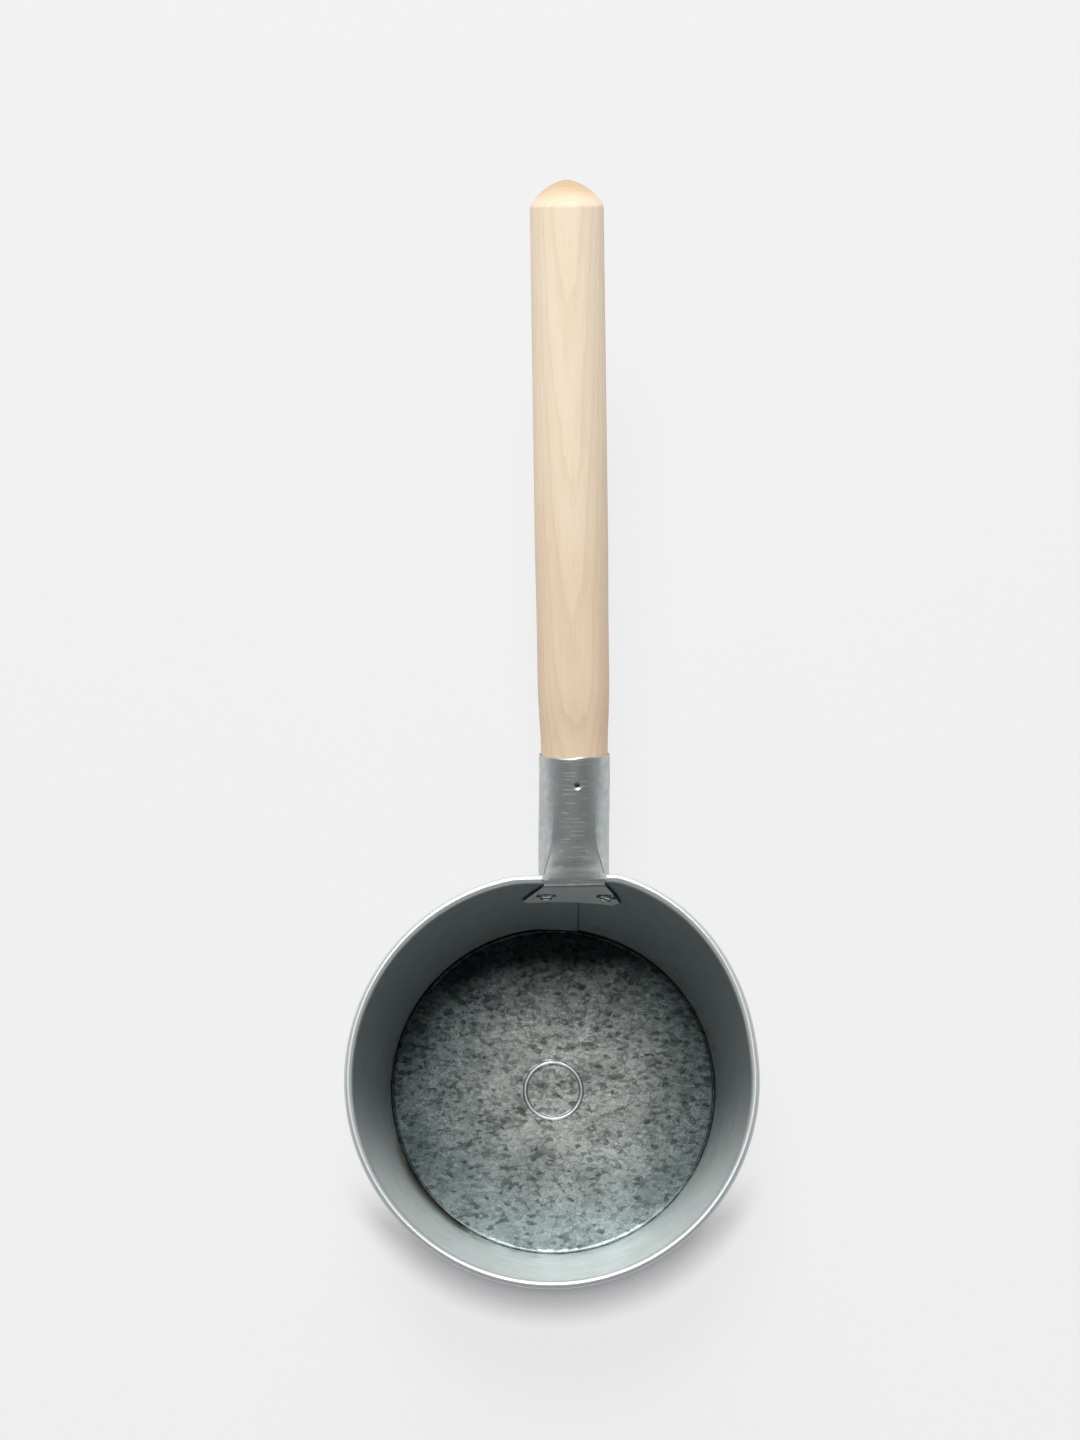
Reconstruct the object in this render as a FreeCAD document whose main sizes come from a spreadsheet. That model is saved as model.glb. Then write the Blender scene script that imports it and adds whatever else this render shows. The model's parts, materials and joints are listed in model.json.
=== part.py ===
"""Feed scoop: a galvanised sheet-steel bowl with a wired rim, and a turned wooden handle.

Millimetres and degrees. The origin lies on the bowl's axis, in the plane that the bowl stands on:
+Z is up the axis, out of the bowl's mouth, and +Y is the way that the handle points.
"""
import FreeCAD, Part
import os
import Sketcher
from FreeCAD import Vector

# Driving dimensions: name, value, meaning
SIZES = [
    ("rim_diameter", 184, "bowl's mouth, over the wired edge"),
    ("bowl_height", 100, "from the standing plane to the top of the wired edge"),
    ("wall_slope", 8, "degrees that the wall leans out from upright"),
    ("bowl_sheet", 0.7, "thickness of the wall's sheet"),
    ("lap_width", 13, "width of the wall's lap seam"),
    ("lap_edge", 1, "inner edge of the lap, past the handle's middle plane"),
    ("wire_diameter", 2, "wire inside the rim"),
    ("wire_clearance", 0.1, "play between the wire and the sheet curled round it"),
    ("curl_reach", 120, "degrees that the curl goes on below the rim's widest line"),
    ("bottom_height", 4.6, "upper face of the bottom above the standing plane"),
    ("bottom_sheet", 0.7, "thickness of the bottom's sheet"),
    ("bottom_corner", 1.6, "outer radius where the bottom turns down into its flange"),
    ("seam_clearance", 0.05, "play between the bottom's flange and the wall"),
    ("hem_height", 3, "height of the wall's edge where it folds up inside the flange"),
    ("mark_diameter", 26, "middle of the raised ring pressed into the bottom"),
    ("mark_width", 2.4, "width of that ring"),
    ("mark_height", 0.5, "height of that ring"),
    ("handle_rise", 14.5, "degrees that the handle rises from level"),
    ("handle_offset", 11.5, "handle's axis beside the bowl's axis"),
    ("handle_length", 253.2, "wood that shows, from the socket's mouth to the tip"),
    ("grip_diameter", 32.2, "straight part of the handle"),
    ("tenon_diameter", 29.7, "wood inside the socket"),
    ("tenon_length", 43, "how far the wood goes into the socket"),
    ("taper_length", 60, "from the socket's mouth to the straight part"),
    ("dome_height", 11.5, "domed end of the handle"),
    ("socket_sheet", 0.7, "thickness of the socket's sheet"),
    ("socket_length", 51.6, "from the rim to the socket's mouth, along its top"),
    ("socket_fit", 0.2, "play between the wood and the socket"),
    ("socket_seam", 1.5, "open seam along the socket's underside"),
    ("bearing_gap", 0.3, "between the socket's scribed end and the bowl"),
    ("neck_width", 27, "socket's strip where it crosses the rim"),
    ("neck_run", 9, "length over which the round socket flattens to the strip"),
    ("tab_width", 44, "lower edge of the tab inside the bowl"),
    ("tab_length", 31, "tab's length down the wall, from the rim"),
    ("tab_clearance", 0.05, "play between the tab and the lap seam that it lies on"),
    ("rivet_spacing", 27, "between the two rivets"),
    ("rivet_drop", 20, "from the rim down the wall to the rivets"),
    ("rivet_shank", 4.6, "rivet's shank"),
    ("rivet_bore", 3.2, "hole up the rivet's shank"),
    ("rivet_bore_depth", 3, "depth of that hole"),
    ("rivet_ring", 5.9, "ring that the rivet's end is rolled into, inside the bowl"),
    ("rivet_ring_height", 1.3, "height of that ring"),
    ("rivet_head", 8, "rivet's head, outside the bowl"),
    ("rivet_head_height", 1.5, "height of that head"),
    ("rivet_clearance", 0.1, "play round the rivet and under its two ends"),
    ("nail_inset", 13, "from the socket's mouth to the nail"),
    ("nail_diameter", 2.2, "nail's shank"),
    ("nail_head", 3.2, "nail's head"),
    ("nail_length", 21, "nail, head to point"),
    ("nail_point", 4, "tapered end of the nail"),
    ("nail_clearance", 0.1, "play round the nail and its head"),
]

# Formulas on those dimensions. Heights are above the standing plane, radii are from the bowl's axis.
WIRE_SPACE = "(Sizes.wire_diameter / 2 + Sizes.wire_clearance)"
BEAD = f"({WIRE_SPACE} + Sizes.bowl_sheet)"
RING = f"(Sizes.rim_diameter / 2 - {BEAD})"
RING_Z = f"(Sizes.bowl_height - {BEAD})"
LEAN = "cos(Sizes.wall_slope)"
TAB_GAP = "(Sizes.bowl_sheet + Sizes.tab_clearance)"
TAB = f"({TAB_GAP} + Sizes.socket_sheet)"
NECK_Z = f"({RING_Z} + {BEAD} + {TAB_GAP})"
SOCKET_INNER = "(Sizes.tenon_diameter / 2 + Sizes.socket_fit)"
SOCKET_OUTER = f"({SOCKET_INNER} + Sizes.socket_sheet)"
WOOD_START = "(Sizes.socket_length - Sizes.tenon_length)"
NAIL_Z = "(Sizes.socket_length - Sizes.nail_inset)"
NAIL_SEAT = "(Sizes.tenon_diameter / 2 + Sizes.nail_clearance)"
RIVET_Z = f"({RING_Z} - Sizes.rivet_drop * {LEAN})"
RIVET_HOLE = "(Sizes.rivet_shank / 2 + Sizes.rivet_clearance)"


def wall(height, inside="0"):
    """Radius of the wall's inner face at a height, or of a surface at a distance inside that face."""
    return f"({RING} - ({BEAD} + {inside}) / {LEAN} - ({RING_Z} - {height}) * tan(Sizes.wall_slope))"


def round_bead(radius, angle):
    """Corner at an angle round the middle of the rim's wire, from straight outward, up and over."""
    return f"({RING} + {radius} * cos({angle}))", f"({RING_Z} + {radius} * sin({angle}))"


def place(x, y, z, turn="rotationz(0)"):
    """Placement at a point, turned by a rotation."""
    return f"placement(vector({x}; {y}; {z}); {turn})"


def along_handle(distance, turn="Sizes.handle_rise - 90"):
    """Placement on the handle's axis, at a distance from the rim, with Z along the axis."""
    rise = "Sizes.handle_rise"
    return place("Sizes.handle_offset",
                 f"{RING} + {SOCKET_INNER} * sin({rise}) + {distance} * cos({rise})",
                 f"{NECK_Z} - {SOCKET_INNER} * cos({rise}) + {distance} * sin({rise})",
                 f"rotationx({turn})")


def across_handle(distance):
    """Placement on the handle's axis with Z square to it, up through the socket's top."""
    return along_handle(distance, "Sizes.handle_rise")


def out_through_wall(side):
    """Placement on the wall's inner face where a rivet goes, with Z out through the wall."""
    across = f"(Sizes.handle_offset + {side} * Sizes.rivet_spacing / 2)"
    return place(across, f"sqrt({wall(RIVET_Z)} ^ 2 - {across} ^ 2)", RIVET_Z,
                 f"rotationz(asin(0 - {across} / {wall(RIVET_Z)})) * rotationx(0 - 90 - Sizes.wall_slope)")


doc = FreeCAD.newDocument("FeedScoop")
sheet = doc.addObject("Spreadsheet::Sheet", "Sizes")
for row, (name, size, meaning) in enumerate(SIZES, 1):
    sheet.set(f"A{row}", name)
    sheet.set(f"B{row}", str(size))
    sheet.setAlias(f"B{row}", name)
    sheet.set(f"C{row}", meaning)
doc.recompute()


def value(formula):
    """The number that a formula gives with the sheet's present cells."""
    return float(sheet.evalExpression(formula))


def add(kind, label, **formulas):
    """Adds a labelled object, with properties bound to formulas."""
    item = doc.addObject(kind, label)
    item.Label = label
    for name, formula in formulas.items():
        item.setExpression(name, formula)
    return item


def combine(kind, label, base, tool):
    """Adds a Part::Cut, Part::Fuse or Part::Common of two objects."""
    item = add(kind, label)
    item.Base = base
    item.Tool = tool
    return item


def draw(sketch, corners):
    """Draws a closed outline through corners given as (across, up) formulas, each tied to the sheet.

    A corner may go on with "right" or "left" and a radius: the arc, under half a turn and turning that
    way, that leads to the next corner.
    """
    points = [Vector(value(corner[0]), value(corner[1]), 0) for corner in corners]
    ends = []
    for start, end, corner in zip(points, points[1:] + points[:1], corners):
        if len(corner) == 2:
            sketch.addGeometry(Part.LineSegment(start, end))
            ends.append((1, 2))
            continue
        radius = value(corner[3])
        chord = end - start
        bulge = radius - (radius ** 2 - chord.Length ** 2 / 4) ** 0.5
        outward = Vector(-chord.y, chord.x, 0).normalize() * bulge
        if corner[2] == "right":
            sketch.addGeometry(Part.Arc(end, start + chord * 0.5 + outward, start))
            ends.append((2, 1))
        else:
            sketch.addGeometry(Part.Arc(start, start + chord * 0.5 - outward, end))
            ends.append((1, 2))
    for edge, corner in enumerate(corners):
        start, end = ends[edge]
        following = (edge + 1) % len(corners)
        sketch.addConstraint(Sketcher.Constraint("Coincident", edge, end, following, ends[following][0]))
        for kind, axis, formula in (("DistanceX", -2, corner[0]), ("DistanceY", -1, corner[1])):
            if formula == "0":
                sketch.addConstraint(Sketcher.Constraint("PointOnObject", edge, start, axis))
            else:
                sketch.addConstraint(Sketcher.Constraint(kind, -1, 1, edge, start, value(formula)))
                sketch.setExpression(f"Constraints[{sketch.ConstraintCount - 1}]", formula)
        if len(corner) == 4:
            sketch.addConstraint(Sketcher.Constraint("Radius", edge, value(corner[3])))
            sketch.setExpression(f"Constraints[{sketch.ConstraintCount - 1}]", corner[3])


def revolved(label, corners):
    """A body turned about its own Z axis from an outline of (radius, height) corners."""
    body = add("PartDesign::Body", label)
    outline = body.newObject("Sketcher::SketchObject", label + "_outline")
    upright = next(plane for plane in body.Origin.OriginFeatures if plane.Role == "XZ_Plane")
    outline.AttachmentSupport = [(upright, "")]
    outline.MapMode = "FlatFace"
    draw(outline, corners)
    turned = body.newObject("PartDesign::Revolution", label + "_turned")
    turned.Profile = (outline, [""])
    turned.ReferenceAxis = (outline, ["V_Axis"])
    turned.Angle = 360
    return body


def rivet_holes(label):
    """Two drills, long enough for the wall, the lap and the tab together."""
    reach = "(4 * (Sizes.bowl_sheet + Sizes.socket_sheet))"
    pair = [add("Part::Cylinder", f"{label}_{side}", Radius=RIVET_HOLE, Height=f"2 * {reach}",
                Placement=out_through_wall(side) + " * " + place("0", "0", f"0 - {reach}"))
            for side in (-1, 1)]
    return combine("Part::Fuse", label, *pair)


# Bowl's wall: a cone of sheet, curled out over the wire at the top and folded in and up round the
# bottom's flange at the foot. Where its two ends lap, under the handle's tab, the sheet is double.
flange_room = "(Sizes.bottom_sheet + 2 * Sizes.seam_clearance)"
fold_back = f"({flange_room} + Sizes.bowl_sheet)"
wall_cone = revolved("wall_cone", [
    (wall("0", "(0 - Sizes.bowl_sheet)"), "0"),
    (wall("0", fold_back), "0"),
    (wall("Sizes.hem_height", fold_back), "Sizes.hem_height"),
    (wall("Sizes.hem_height", flange_room), "Sizes.hem_height"),
    (wall("Sizes.bowl_sheet", flange_room), "Sizes.bowl_sheet"),
    (wall("Sizes.bowl_sheet"), "Sizes.bowl_sheet"),
    (*round_bead(BEAD, "180 - Sizes.wall_slope"), "right", BEAD),
    (*round_bead(BEAD, "0"), "right", BEAD),
    round_bead(BEAD, "0 - Sizes.curl_reach"),
    (*round_bead(WIRE_SPACE, "0 - Sizes.curl_reach"), "left", WIRE_SPACE),
    (*round_bead(WIRE_SPACE, "0"), "left", WIRE_SPACE),
    round_bead(WIRE_SPACE, "180 - Sizes.wall_slope")])
lap_foot = "(Sizes.bottom_height + Sizes.seam_clearance)"
lap_ring = revolved("lap_ring", [
    (wall(lap_foot), lap_foot),
    (wall(lap_foot, "Sizes.bowl_sheet"), lap_foot),
    (wall(RING_Z, "Sizes.bowl_sheet"), RING_Z),
    (wall(RING_Z), RING_Z)])
lap_strip = add("Part::Box", "lap_strip", Length="Sizes.lap_width", Width="Sizes.rim_diameter / 2",
                Height="Sizes.bowl_height",
                Placement=place("Sizes.handle_offset + Sizes.lap_edge - Sizes.lap_width", "0", "0"))
lap = combine("Part::Common", "lap", lap_ring, lap_strip)
lapped_wall = combine("Part::Fuse", "lapped_wall", wall_cone, lap)
bowl_wall = combine("Part::Cut", "bowl_wall", lapped_wall, rivet_holes("wall_holes"))

# Wire inside the rim, its two ends butted
rim_wire = add("Part::Torus", "rim_wire", Radius1=RING, Radius2="Sizes.wire_diameter / 2",
               Placement=place("0", "0", RING_Z))

# Bowl's bottom: a disc turned down at its edge into a flange that the wall's foot grips, with one
# plain ring pressed up in its middle
flange_face = "Sizes.seam_clearance"
flange_back = "(Sizes.seam_clearance + Sizes.bottom_sheet)"
flange_foot = "(Sizes.bowl_sheet + Sizes.seam_clearance)"
under = "(Sizes.bottom_height - Sizes.bottom_sheet)"
corner_z = "(Sizes.bottom_height - Sizes.bottom_corner)"
corner_radius = wall(corner_z, "(Sizes.seam_clearance + Sizes.bottom_corner)")
inner_corner = "(Sizes.bottom_corner - Sizes.bottom_sheet)"


def ring_mark(face, inward):
    """Corners of the pressed ring on one face of the bottom, outward or inward along the outline."""
    middle = "Sizes.mark_diameter / 2"
    steps = [(f"({middle} - Sizes.mark_width / 2)", face),
             (f"({middle} - Sizes.mark_width / 4)", f"({face} + Sizes.mark_height)"),
             (f"({middle} + Sizes.mark_width / 4)", f"({face} + Sizes.mark_height)"),
             (f"({middle} + Sizes.mark_width / 2)", face)]
    return steps[::-1] if inward else steps


bowl_bottom = revolved("bowl_bottom", [
    ("0", under),
    ("0", "Sizes.bottom_height"),
    *ring_mark("Sizes.bottom_height", inward=False),
    (corner_radius, "Sizes.bottom_height", "right", "Sizes.bottom_corner"),
    (f"({corner_radius} + Sizes.bottom_corner * {LEAN})",
     f"({corner_z} - Sizes.bottom_corner * sin(Sizes.wall_slope))"),
    (wall(flange_foot, flange_face), flange_foot),
    (wall(flange_foot, flange_back), flange_foot),
    (f"({corner_radius} + {inner_corner} * {LEAN})",
     f"({corner_z} - {inner_corner} * sin(Sizes.wall_slope))", "left", inner_corner),
    (corner_radius, under),
    *ring_mark(under, inward=True)])

# Handle's socket, one piece of sheet: a tube round the wood, open along its underside and scribed to
# the bowl, that flattens into a strip, crosses the rim and goes down inside as a riveted tab
tab_foot = f"({RING_Z} - Sizes.tab_length * {LEAN})"
tab_ring = revolved("tab_ring", [
    (wall(tab_foot, TAB_GAP), tab_foot),
    (wall(tab_foot, TAB), tab_foot),
    (*round_bead(f"({BEAD} + {TAB})", "180 - Sizes.wall_slope"), "right", f"({BEAD} + {TAB})"),
    (RING, f"({NECK_Z} + Sizes.socket_sheet)"),
    ("Sizes.rim_diameter", f"({NECK_Z} + Sizes.socket_sheet)"),
    ("Sizes.rim_diameter", NECK_Z),
    (RING, NECK_Z, "left", f"({BEAD} + {TAB_GAP})"),
    round_bead(f"({BEAD} + {TAB_GAP})", "180 - Sizes.wall_slope")])
tab_outline = add("Sketcher::SketchObject", "tab_outline",
                  Placement=place("Sizes.handle_offset - Sizes.tab_width / 2", "0", "0", "rotationx(90)"))
beside_neck = "((Sizes.tab_width - Sizes.neck_width) / 2)"
draw(tab_outline, [
    ("0", f"({tab_foot} - Sizes.socket_sheet)"),
    ("0", f"({tab_foot} + Sizes.socket_sheet)"),
    (beside_neck, RING_Z),
    (beside_neck, "(Sizes.bowl_height + Sizes.tab_length)"),
    (f"({beside_neck} + Sizes.neck_width)", "(Sizes.bowl_height + Sizes.tab_length)"),
    (f"({beside_neck} + Sizes.neck_width)", RING_Z),
    ("Sizes.tab_width", f"({tab_foot} + Sizes.socket_sheet)"),
    ("Sizes.tab_width", f"({tab_foot} - Sizes.socket_sheet)")])
tab_block = add("Part::Extrusion", "tab_block", LengthFwd=RING)
tab_block.Base = tab_outline
tab_block.DirMode = "Custom"
tab_block.Dir = Vector(0, 1, 0)
tab_block.Solid = True
tab = combine("Part::Common", "tab", tab_ring, tab_block)

# Neck of the socket: the sheet goes from the flat strip at the rim to the round of the tube
half_neck = "(Sizes.neck_width / 2)"
neck_flat = add("Sketcher::SketchObject", "neck_flat",
                Placement=place(f"Sizes.handle_offset - {half_neck}", RING, NECK_Z, "rotationx(90)"))
draw(neck_flat, [
    ("0", "0"),
    ("0", "Sizes.socket_sheet"),
    ("Sizes.neck_width", "Sizes.socket_sheet"),
    ("Sizes.neck_width", "0")])
neck_round = add("Sketcher::SketchObject", "neck_round",
                 Placement=along_handle("Sizes.neck_run", "Sizes.handle_rise + 90") + " * "
                           + place(f"0 - {half_neck}", "0", "0"))
shoulder_outer = f"sqrt({SOCKET_OUTER} ^ 2 - {half_neck} ^ 2)"
shoulder_inner = f"sqrt({SOCKET_INNER} ^ 2 - {half_neck} ^ 2)"
draw(neck_round, [
    ("0", shoulder_inner),
    ("0", shoulder_outer, "right", SOCKET_OUTER),
    ("Sizes.neck_width", shoulder_outer),
    ("Sizes.neck_width", shoulder_inner, "left", SOCKET_INNER)])
neck = add("Part::Loft", "neck")
neck.Sections = [neck_flat, neck_round]
neck.Solid = True
neck.Ruled = True

# Tube of the socket: open at the neck and along its underside, and scribed to the bowl. Its tools
# reach a tube's width past what they make or cut.
reach = f"(2 * {SOCKET_OUTER})"
tube_outer = add("Part::Cylinder", "tube_outer", Radius=SOCKET_OUTER,
                 Height=f"(Sizes.socket_length + {reach})", Placement=along_handle(f"(0 - {reach})"))
tube_bore = add("Part::Cylinder", "tube_bore", Radius=SOCKET_INNER,
                Height=f"(Sizes.socket_length + 2 * {reach})",
                Placement=along_handle(f"(0 - {reach})"))
tube = combine("Part::Cut", "tube", tube_outer, tube_bore)
neck_opening = add("Part::Box", "neck_opening", Length="Sizes.neck_width", Width=reach,
                   Height=f"(Sizes.neck_run + {reach})",
                   Placement=along_handle(f"(0 - {reach})") + " * "
                             + place(f"0 - {half_neck}", f"0 - {reach}", "0"))
seam_opening = add("Part::Box", "seam_opening", Length="Sizes.socket_seam", Width=reach,
                   Height=f"(Sizes.socket_length + 2 * {reach})",
                   Placement=along_handle(f"(0 - {reach})") + " * "
                             + place("0 - Sizes.socket_seam / 2", "0", "0"))
clear_of_bowl = "(0 - Sizes.bowl_sheet - Sizes.bearing_gap)"
bowl_block = revolved("bowl_block", [
    ("0", "0"),
    ("0", RING_Z),
    (wall(RING_Z, clear_of_bowl), RING_Z),
    (wall("0", clear_of_bowl), "0")])
bead_block = add("Part::Torus", "bead_block", Radius1=RING, Radius2=f"({BEAD} + Sizes.bearing_gap)",
                 Placement=place("0", "0", RING_Z))
openings = combine("Part::Fuse", "tube_openings", neck_opening, seam_opening)
scribe = combine("Part::Fuse", "scribe", bowl_block, bead_block)
opened_tube = combine("Part::Cut", "opened_tube", tube, openings)
scribed_tube = combine("Part::Cut", "scribed_tube", opened_tube, scribe)
necked_tube = combine("Part::Fuse", "necked_tube", scribed_tube, neck)
socket_blank = combine("Part::Fuse", "socket_blank", necked_tube, tab)
nail_head_hole = add("Part::Cylinder", "nail_head_hole",
                     Radius="(Sizes.nail_head / 2 + Sizes.nail_clearance)", Height=reach,
                     Placement=across_handle(NAIL_Z))
socket_holes = combine("Part::Fuse", "socket_holes", rivet_holes("tab_holes"), nail_head_hole)
handle_socket = combine("Part::Cut", "handle_socket", socket_blank, socket_holes)

# Rivets: head against the wall outside, and the hollow end rolled back against the tab inside
head_seat = f"(Sizes.rivet_ring_height + {TAB} + Sizes.bowl_sheet + 2 * Sizes.rivet_clearance)"
ring_edge = "((Sizes.rivet_ring - Sizes.rivet_bore) / 4)"
rivets = []
for name, side in (("rivet_left", -1), ("rivet_right", 1)):
    rivet = revolved(name, [
        ("0", "Sizes.rivet_bore_depth"),
        ("0", f"({head_seat} + Sizes.rivet_head_height)", "right",
         "(((Sizes.rivet_head / 2) ^ 2 + Sizes.rivet_head_height ^ 2) / (2 * Sizes.rivet_head_height))"),
        ("Sizes.rivet_head / 2", head_seat),
        ("Sizes.rivet_shank / 2", head_seat),
        ("Sizes.rivet_shank / 2", "Sizes.rivet_ring_height"),
        ("Sizes.rivet_ring / 2", "Sizes.rivet_ring_height"),
        ("Sizes.rivet_ring / 2", ring_edge, "right", ring_edge),
        ("((Sizes.rivet_ring + Sizes.rivet_bore) / 4)", "0", "right", ring_edge),
        ("Sizes.rivet_bore / 2", ring_edge),
        ("Sizes.rivet_bore / 2", "Sizes.rivet_bore_depth")])
    tip = f"(0 - {TAB} - Sizes.rivet_clearance - Sizes.rivet_ring_height)"
    rivet.setExpression("Placement", out_through_wall(side) + " * " + place("0", "0", tip))
    rivets.append(rivet)

# Handle, turned from one piece of wood: domed end, straight grip, taper, and the tenon in the socket
straight_end = "(Sizes.tenon_length + Sizes.handle_length - Sizes.dome_height)"
taper_depth = "((Sizes.grip_diameter - Sizes.tenon_diameter) / 2)"
turned_wood = revolved("turned_wood", [
    ("0", "0"),
    ("0", "(Sizes.tenon_length + Sizes.handle_length)", "right",
     "(((Sizes.grip_diameter / 2) ^ 2 + Sizes.dome_height ^ 2) / (2 * Sizes.dome_height))"),
    ("Sizes.grip_diameter / 2", straight_end),
    ("Sizes.grip_diameter / 2", "(Sizes.tenon_length + Sizes.taper_length)", "right",
     f"((Sizes.taper_length ^ 2 + {taper_depth} ^ 2) / (2 * {taper_depth}))"),
    ("Sizes.tenon_diameter / 2", "Sizes.tenon_length"),
    ("Sizes.tenon_diameter / 2", "0")])
turned_wood.setExpression("Placement", along_handle(WOOD_START))
nail_point = f"({SOCKET_OUTER} - Sizes.nail_length)"
nail_hole = add("Part::Cylinder", "nail_hole", Radius="(Sizes.nail_diameter / 2 + Sizes.nail_clearance)",
                Height=reach,
                Placement=across_handle(NAIL_Z) + " * "
                          + place("0", "0", f"{nail_point} - Sizes.nail_clearance"))
wooden_handle = combine("Part::Cut", "wooden_handle", turned_wood, nail_hole)

# Nail through the socket's top: its head lies in the socket's hole, level with the sheet
head_under = f"(Sizes.nail_length - ({SOCKET_OUTER} - {NAIL_SEAT}))"
handle_nail = revolved("handle_nail", [
    ("0", "0"),
    ("0", "Sizes.nail_length"),
    ("Sizes.nail_head / 2", "Sizes.nail_length"),
    ("Sizes.nail_head / 2", head_under),
    ("Sizes.nail_diameter / 2", head_under),
    ("Sizes.nail_diameter / 2", "Sizes.nail_point")])
handle_nail.setExpression("Placement", across_handle(NAIL_Z) + " * " + place("0", "0", nail_point))

doc.recompute()
for item in doc.Objects:
    if "Invalid" in item.State or "Error" in item.State:
        raise RuntimeError(f"{item.Label} failed: {item.getStatusString()}")
nodes = [bowl_wall, rim_wire, bowl_bottom, handle_socket, *rivets, wooden_handle, handle_nail]
for node in nodes:
    if node.Shape.isNull() or not node.Shape.isValid():
        raise RuntimeError(f"{node.Label} has no valid shape")
os.makedirs("parts", exist_ok=True)
for node in nodes:
    node.Shape.exportStep(f"parts/{node.Label}.step")
    print(f"{node.Label}: {len(node.Shape.Solids)} solid, {node.Shape.Volume:.0f} mm3")
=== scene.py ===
import json
import math
from functools import partial

import bmesh
import bpy
import numpy as np
from mathutils import Matrix, Vector


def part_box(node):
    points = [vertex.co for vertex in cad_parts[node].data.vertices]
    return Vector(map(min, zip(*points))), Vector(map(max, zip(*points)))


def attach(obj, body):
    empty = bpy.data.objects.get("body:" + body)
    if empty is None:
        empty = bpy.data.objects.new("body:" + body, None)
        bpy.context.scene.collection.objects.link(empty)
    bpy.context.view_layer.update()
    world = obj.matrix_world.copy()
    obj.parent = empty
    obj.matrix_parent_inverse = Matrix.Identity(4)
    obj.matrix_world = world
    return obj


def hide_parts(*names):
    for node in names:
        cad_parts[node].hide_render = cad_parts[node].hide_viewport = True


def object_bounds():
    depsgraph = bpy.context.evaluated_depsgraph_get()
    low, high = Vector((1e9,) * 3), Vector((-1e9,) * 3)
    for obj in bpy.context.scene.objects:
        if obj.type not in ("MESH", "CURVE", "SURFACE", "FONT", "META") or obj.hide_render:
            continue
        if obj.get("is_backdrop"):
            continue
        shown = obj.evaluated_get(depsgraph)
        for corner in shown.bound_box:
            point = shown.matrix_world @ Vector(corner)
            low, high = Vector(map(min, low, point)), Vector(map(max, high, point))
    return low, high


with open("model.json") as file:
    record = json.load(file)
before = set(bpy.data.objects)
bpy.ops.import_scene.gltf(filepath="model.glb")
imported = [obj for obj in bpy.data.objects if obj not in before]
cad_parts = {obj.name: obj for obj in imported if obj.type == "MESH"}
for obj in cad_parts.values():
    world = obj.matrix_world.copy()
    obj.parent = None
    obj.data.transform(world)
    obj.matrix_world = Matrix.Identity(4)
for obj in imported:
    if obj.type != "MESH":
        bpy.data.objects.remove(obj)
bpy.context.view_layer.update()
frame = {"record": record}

# ---------------------------------------------------------------------------------------------------
# Bowl's wall: one strip of galvanised sheet steel, rolled to a cone and lapped under the handle. Its
# top is curled out over a wire, and its foot is folded in and up round the bottom's flange. The
# handle's strip has pressed the rim flat where it crosses, and the rim has sprung out beside it.
mm = 0.001
wall_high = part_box("bowl_wall")[1]
wire_low, wire_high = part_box("rim_wire")
sheet = 0.7 * mm
lean = math.radians(8)
level = (wire_low.z + wire_high.z) / 2
wire_radius = (wire_high.z - wire_low.z) / 2
ring = (wire_high.x - wire_low.x) / 2 - wire_radius
bead = wall_high.z - level
floor_level = 4.6 * mm
lap_edges = (-0.5 * mm, 12.5 * mm)


def line(start, end, steps):
    """Points on a straight line: start + t * (end - start), for t from 0 to just before 1."""
    return np.linspace(start, end, steps, endpoint=False)


def arc(centre, radius, start, end, steps):
    """Points on an arc: centre + radius * (cos a, sin a), for a in degrees from start to just before end."""
    angle = np.radians(np.linspace(start, end, steps, endpoint=False))
    return np.stack([centre[0] + radius * np.cos(angle), centre[1] + radius * np.sin(angle)], 1)


def step(value, start, end):
    """Smooth step: 3t^2 - 2t^3, with t going from 0 at start to 1 at end."""
    t = np.clip((value - start) / (end - start), 0, 1)
    return t * t * (3 - 2 * t)


def wall_radius(height, inward=0.0):
    """Radius of the true cone's inner face, less a distance inward from that face: the wire's ring, less
    the bead and that distance over the lean's cosine, less the drop below the wire times its tangent."""
    return ring - (bead + inward) / math.cos(lean) - (level - height) * math.tan(lean)


def out_of_true(azimuth, height):
    """How far the wall stands outside the true cone. At the rim that is -0.6 - 0.7 cos(a), and a bulge
    29.5 t^1.8 (1-t)^1.1 with t going from 0 at 5 degrees to 1 at 95, and no more than the flat under the
    handle allows, which is a straight line across. It fades with depth, as depth's power 1.4, to the foot."""
    t = np.clip((np.degrees(azimuth) - 5) / 90, 0, 1)
    free = -0.6 - 0.7 * np.cos(azimuth) + 29.5 * t ** 1.8 * (1 - t) ** 1.1
    flat = 90.2 / np.clip(np.sin(azimuth), 0.3, 1) - (ring + bead) / mm
    rim = (free + flat - np.hypot(free - flat, 0.4)) / 2
    share = np.clip((height - floor_level) / (level - floor_level), 0, 1.02)
    return rim * mm * share ** 1.4


def hand_marks(azimuth, height):
    """Slight unevenness left by rolling the sheet by hand: three long waves round the wall, under 0.2 mm."""
    wave = (0.10 * np.sin(7 * azimuth + 0.8 + height / (19 * mm))
            + 0.06 * np.sin(13 * azimuth - height / (11 * mm))
            + 0.05 * np.sin(4 * azimuth + height / (27 * mm) + 2))
    return wave * mm * step(height, floor_level, 25 * mm) * (1 - step(height, level - 8 * mm, level))


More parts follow.
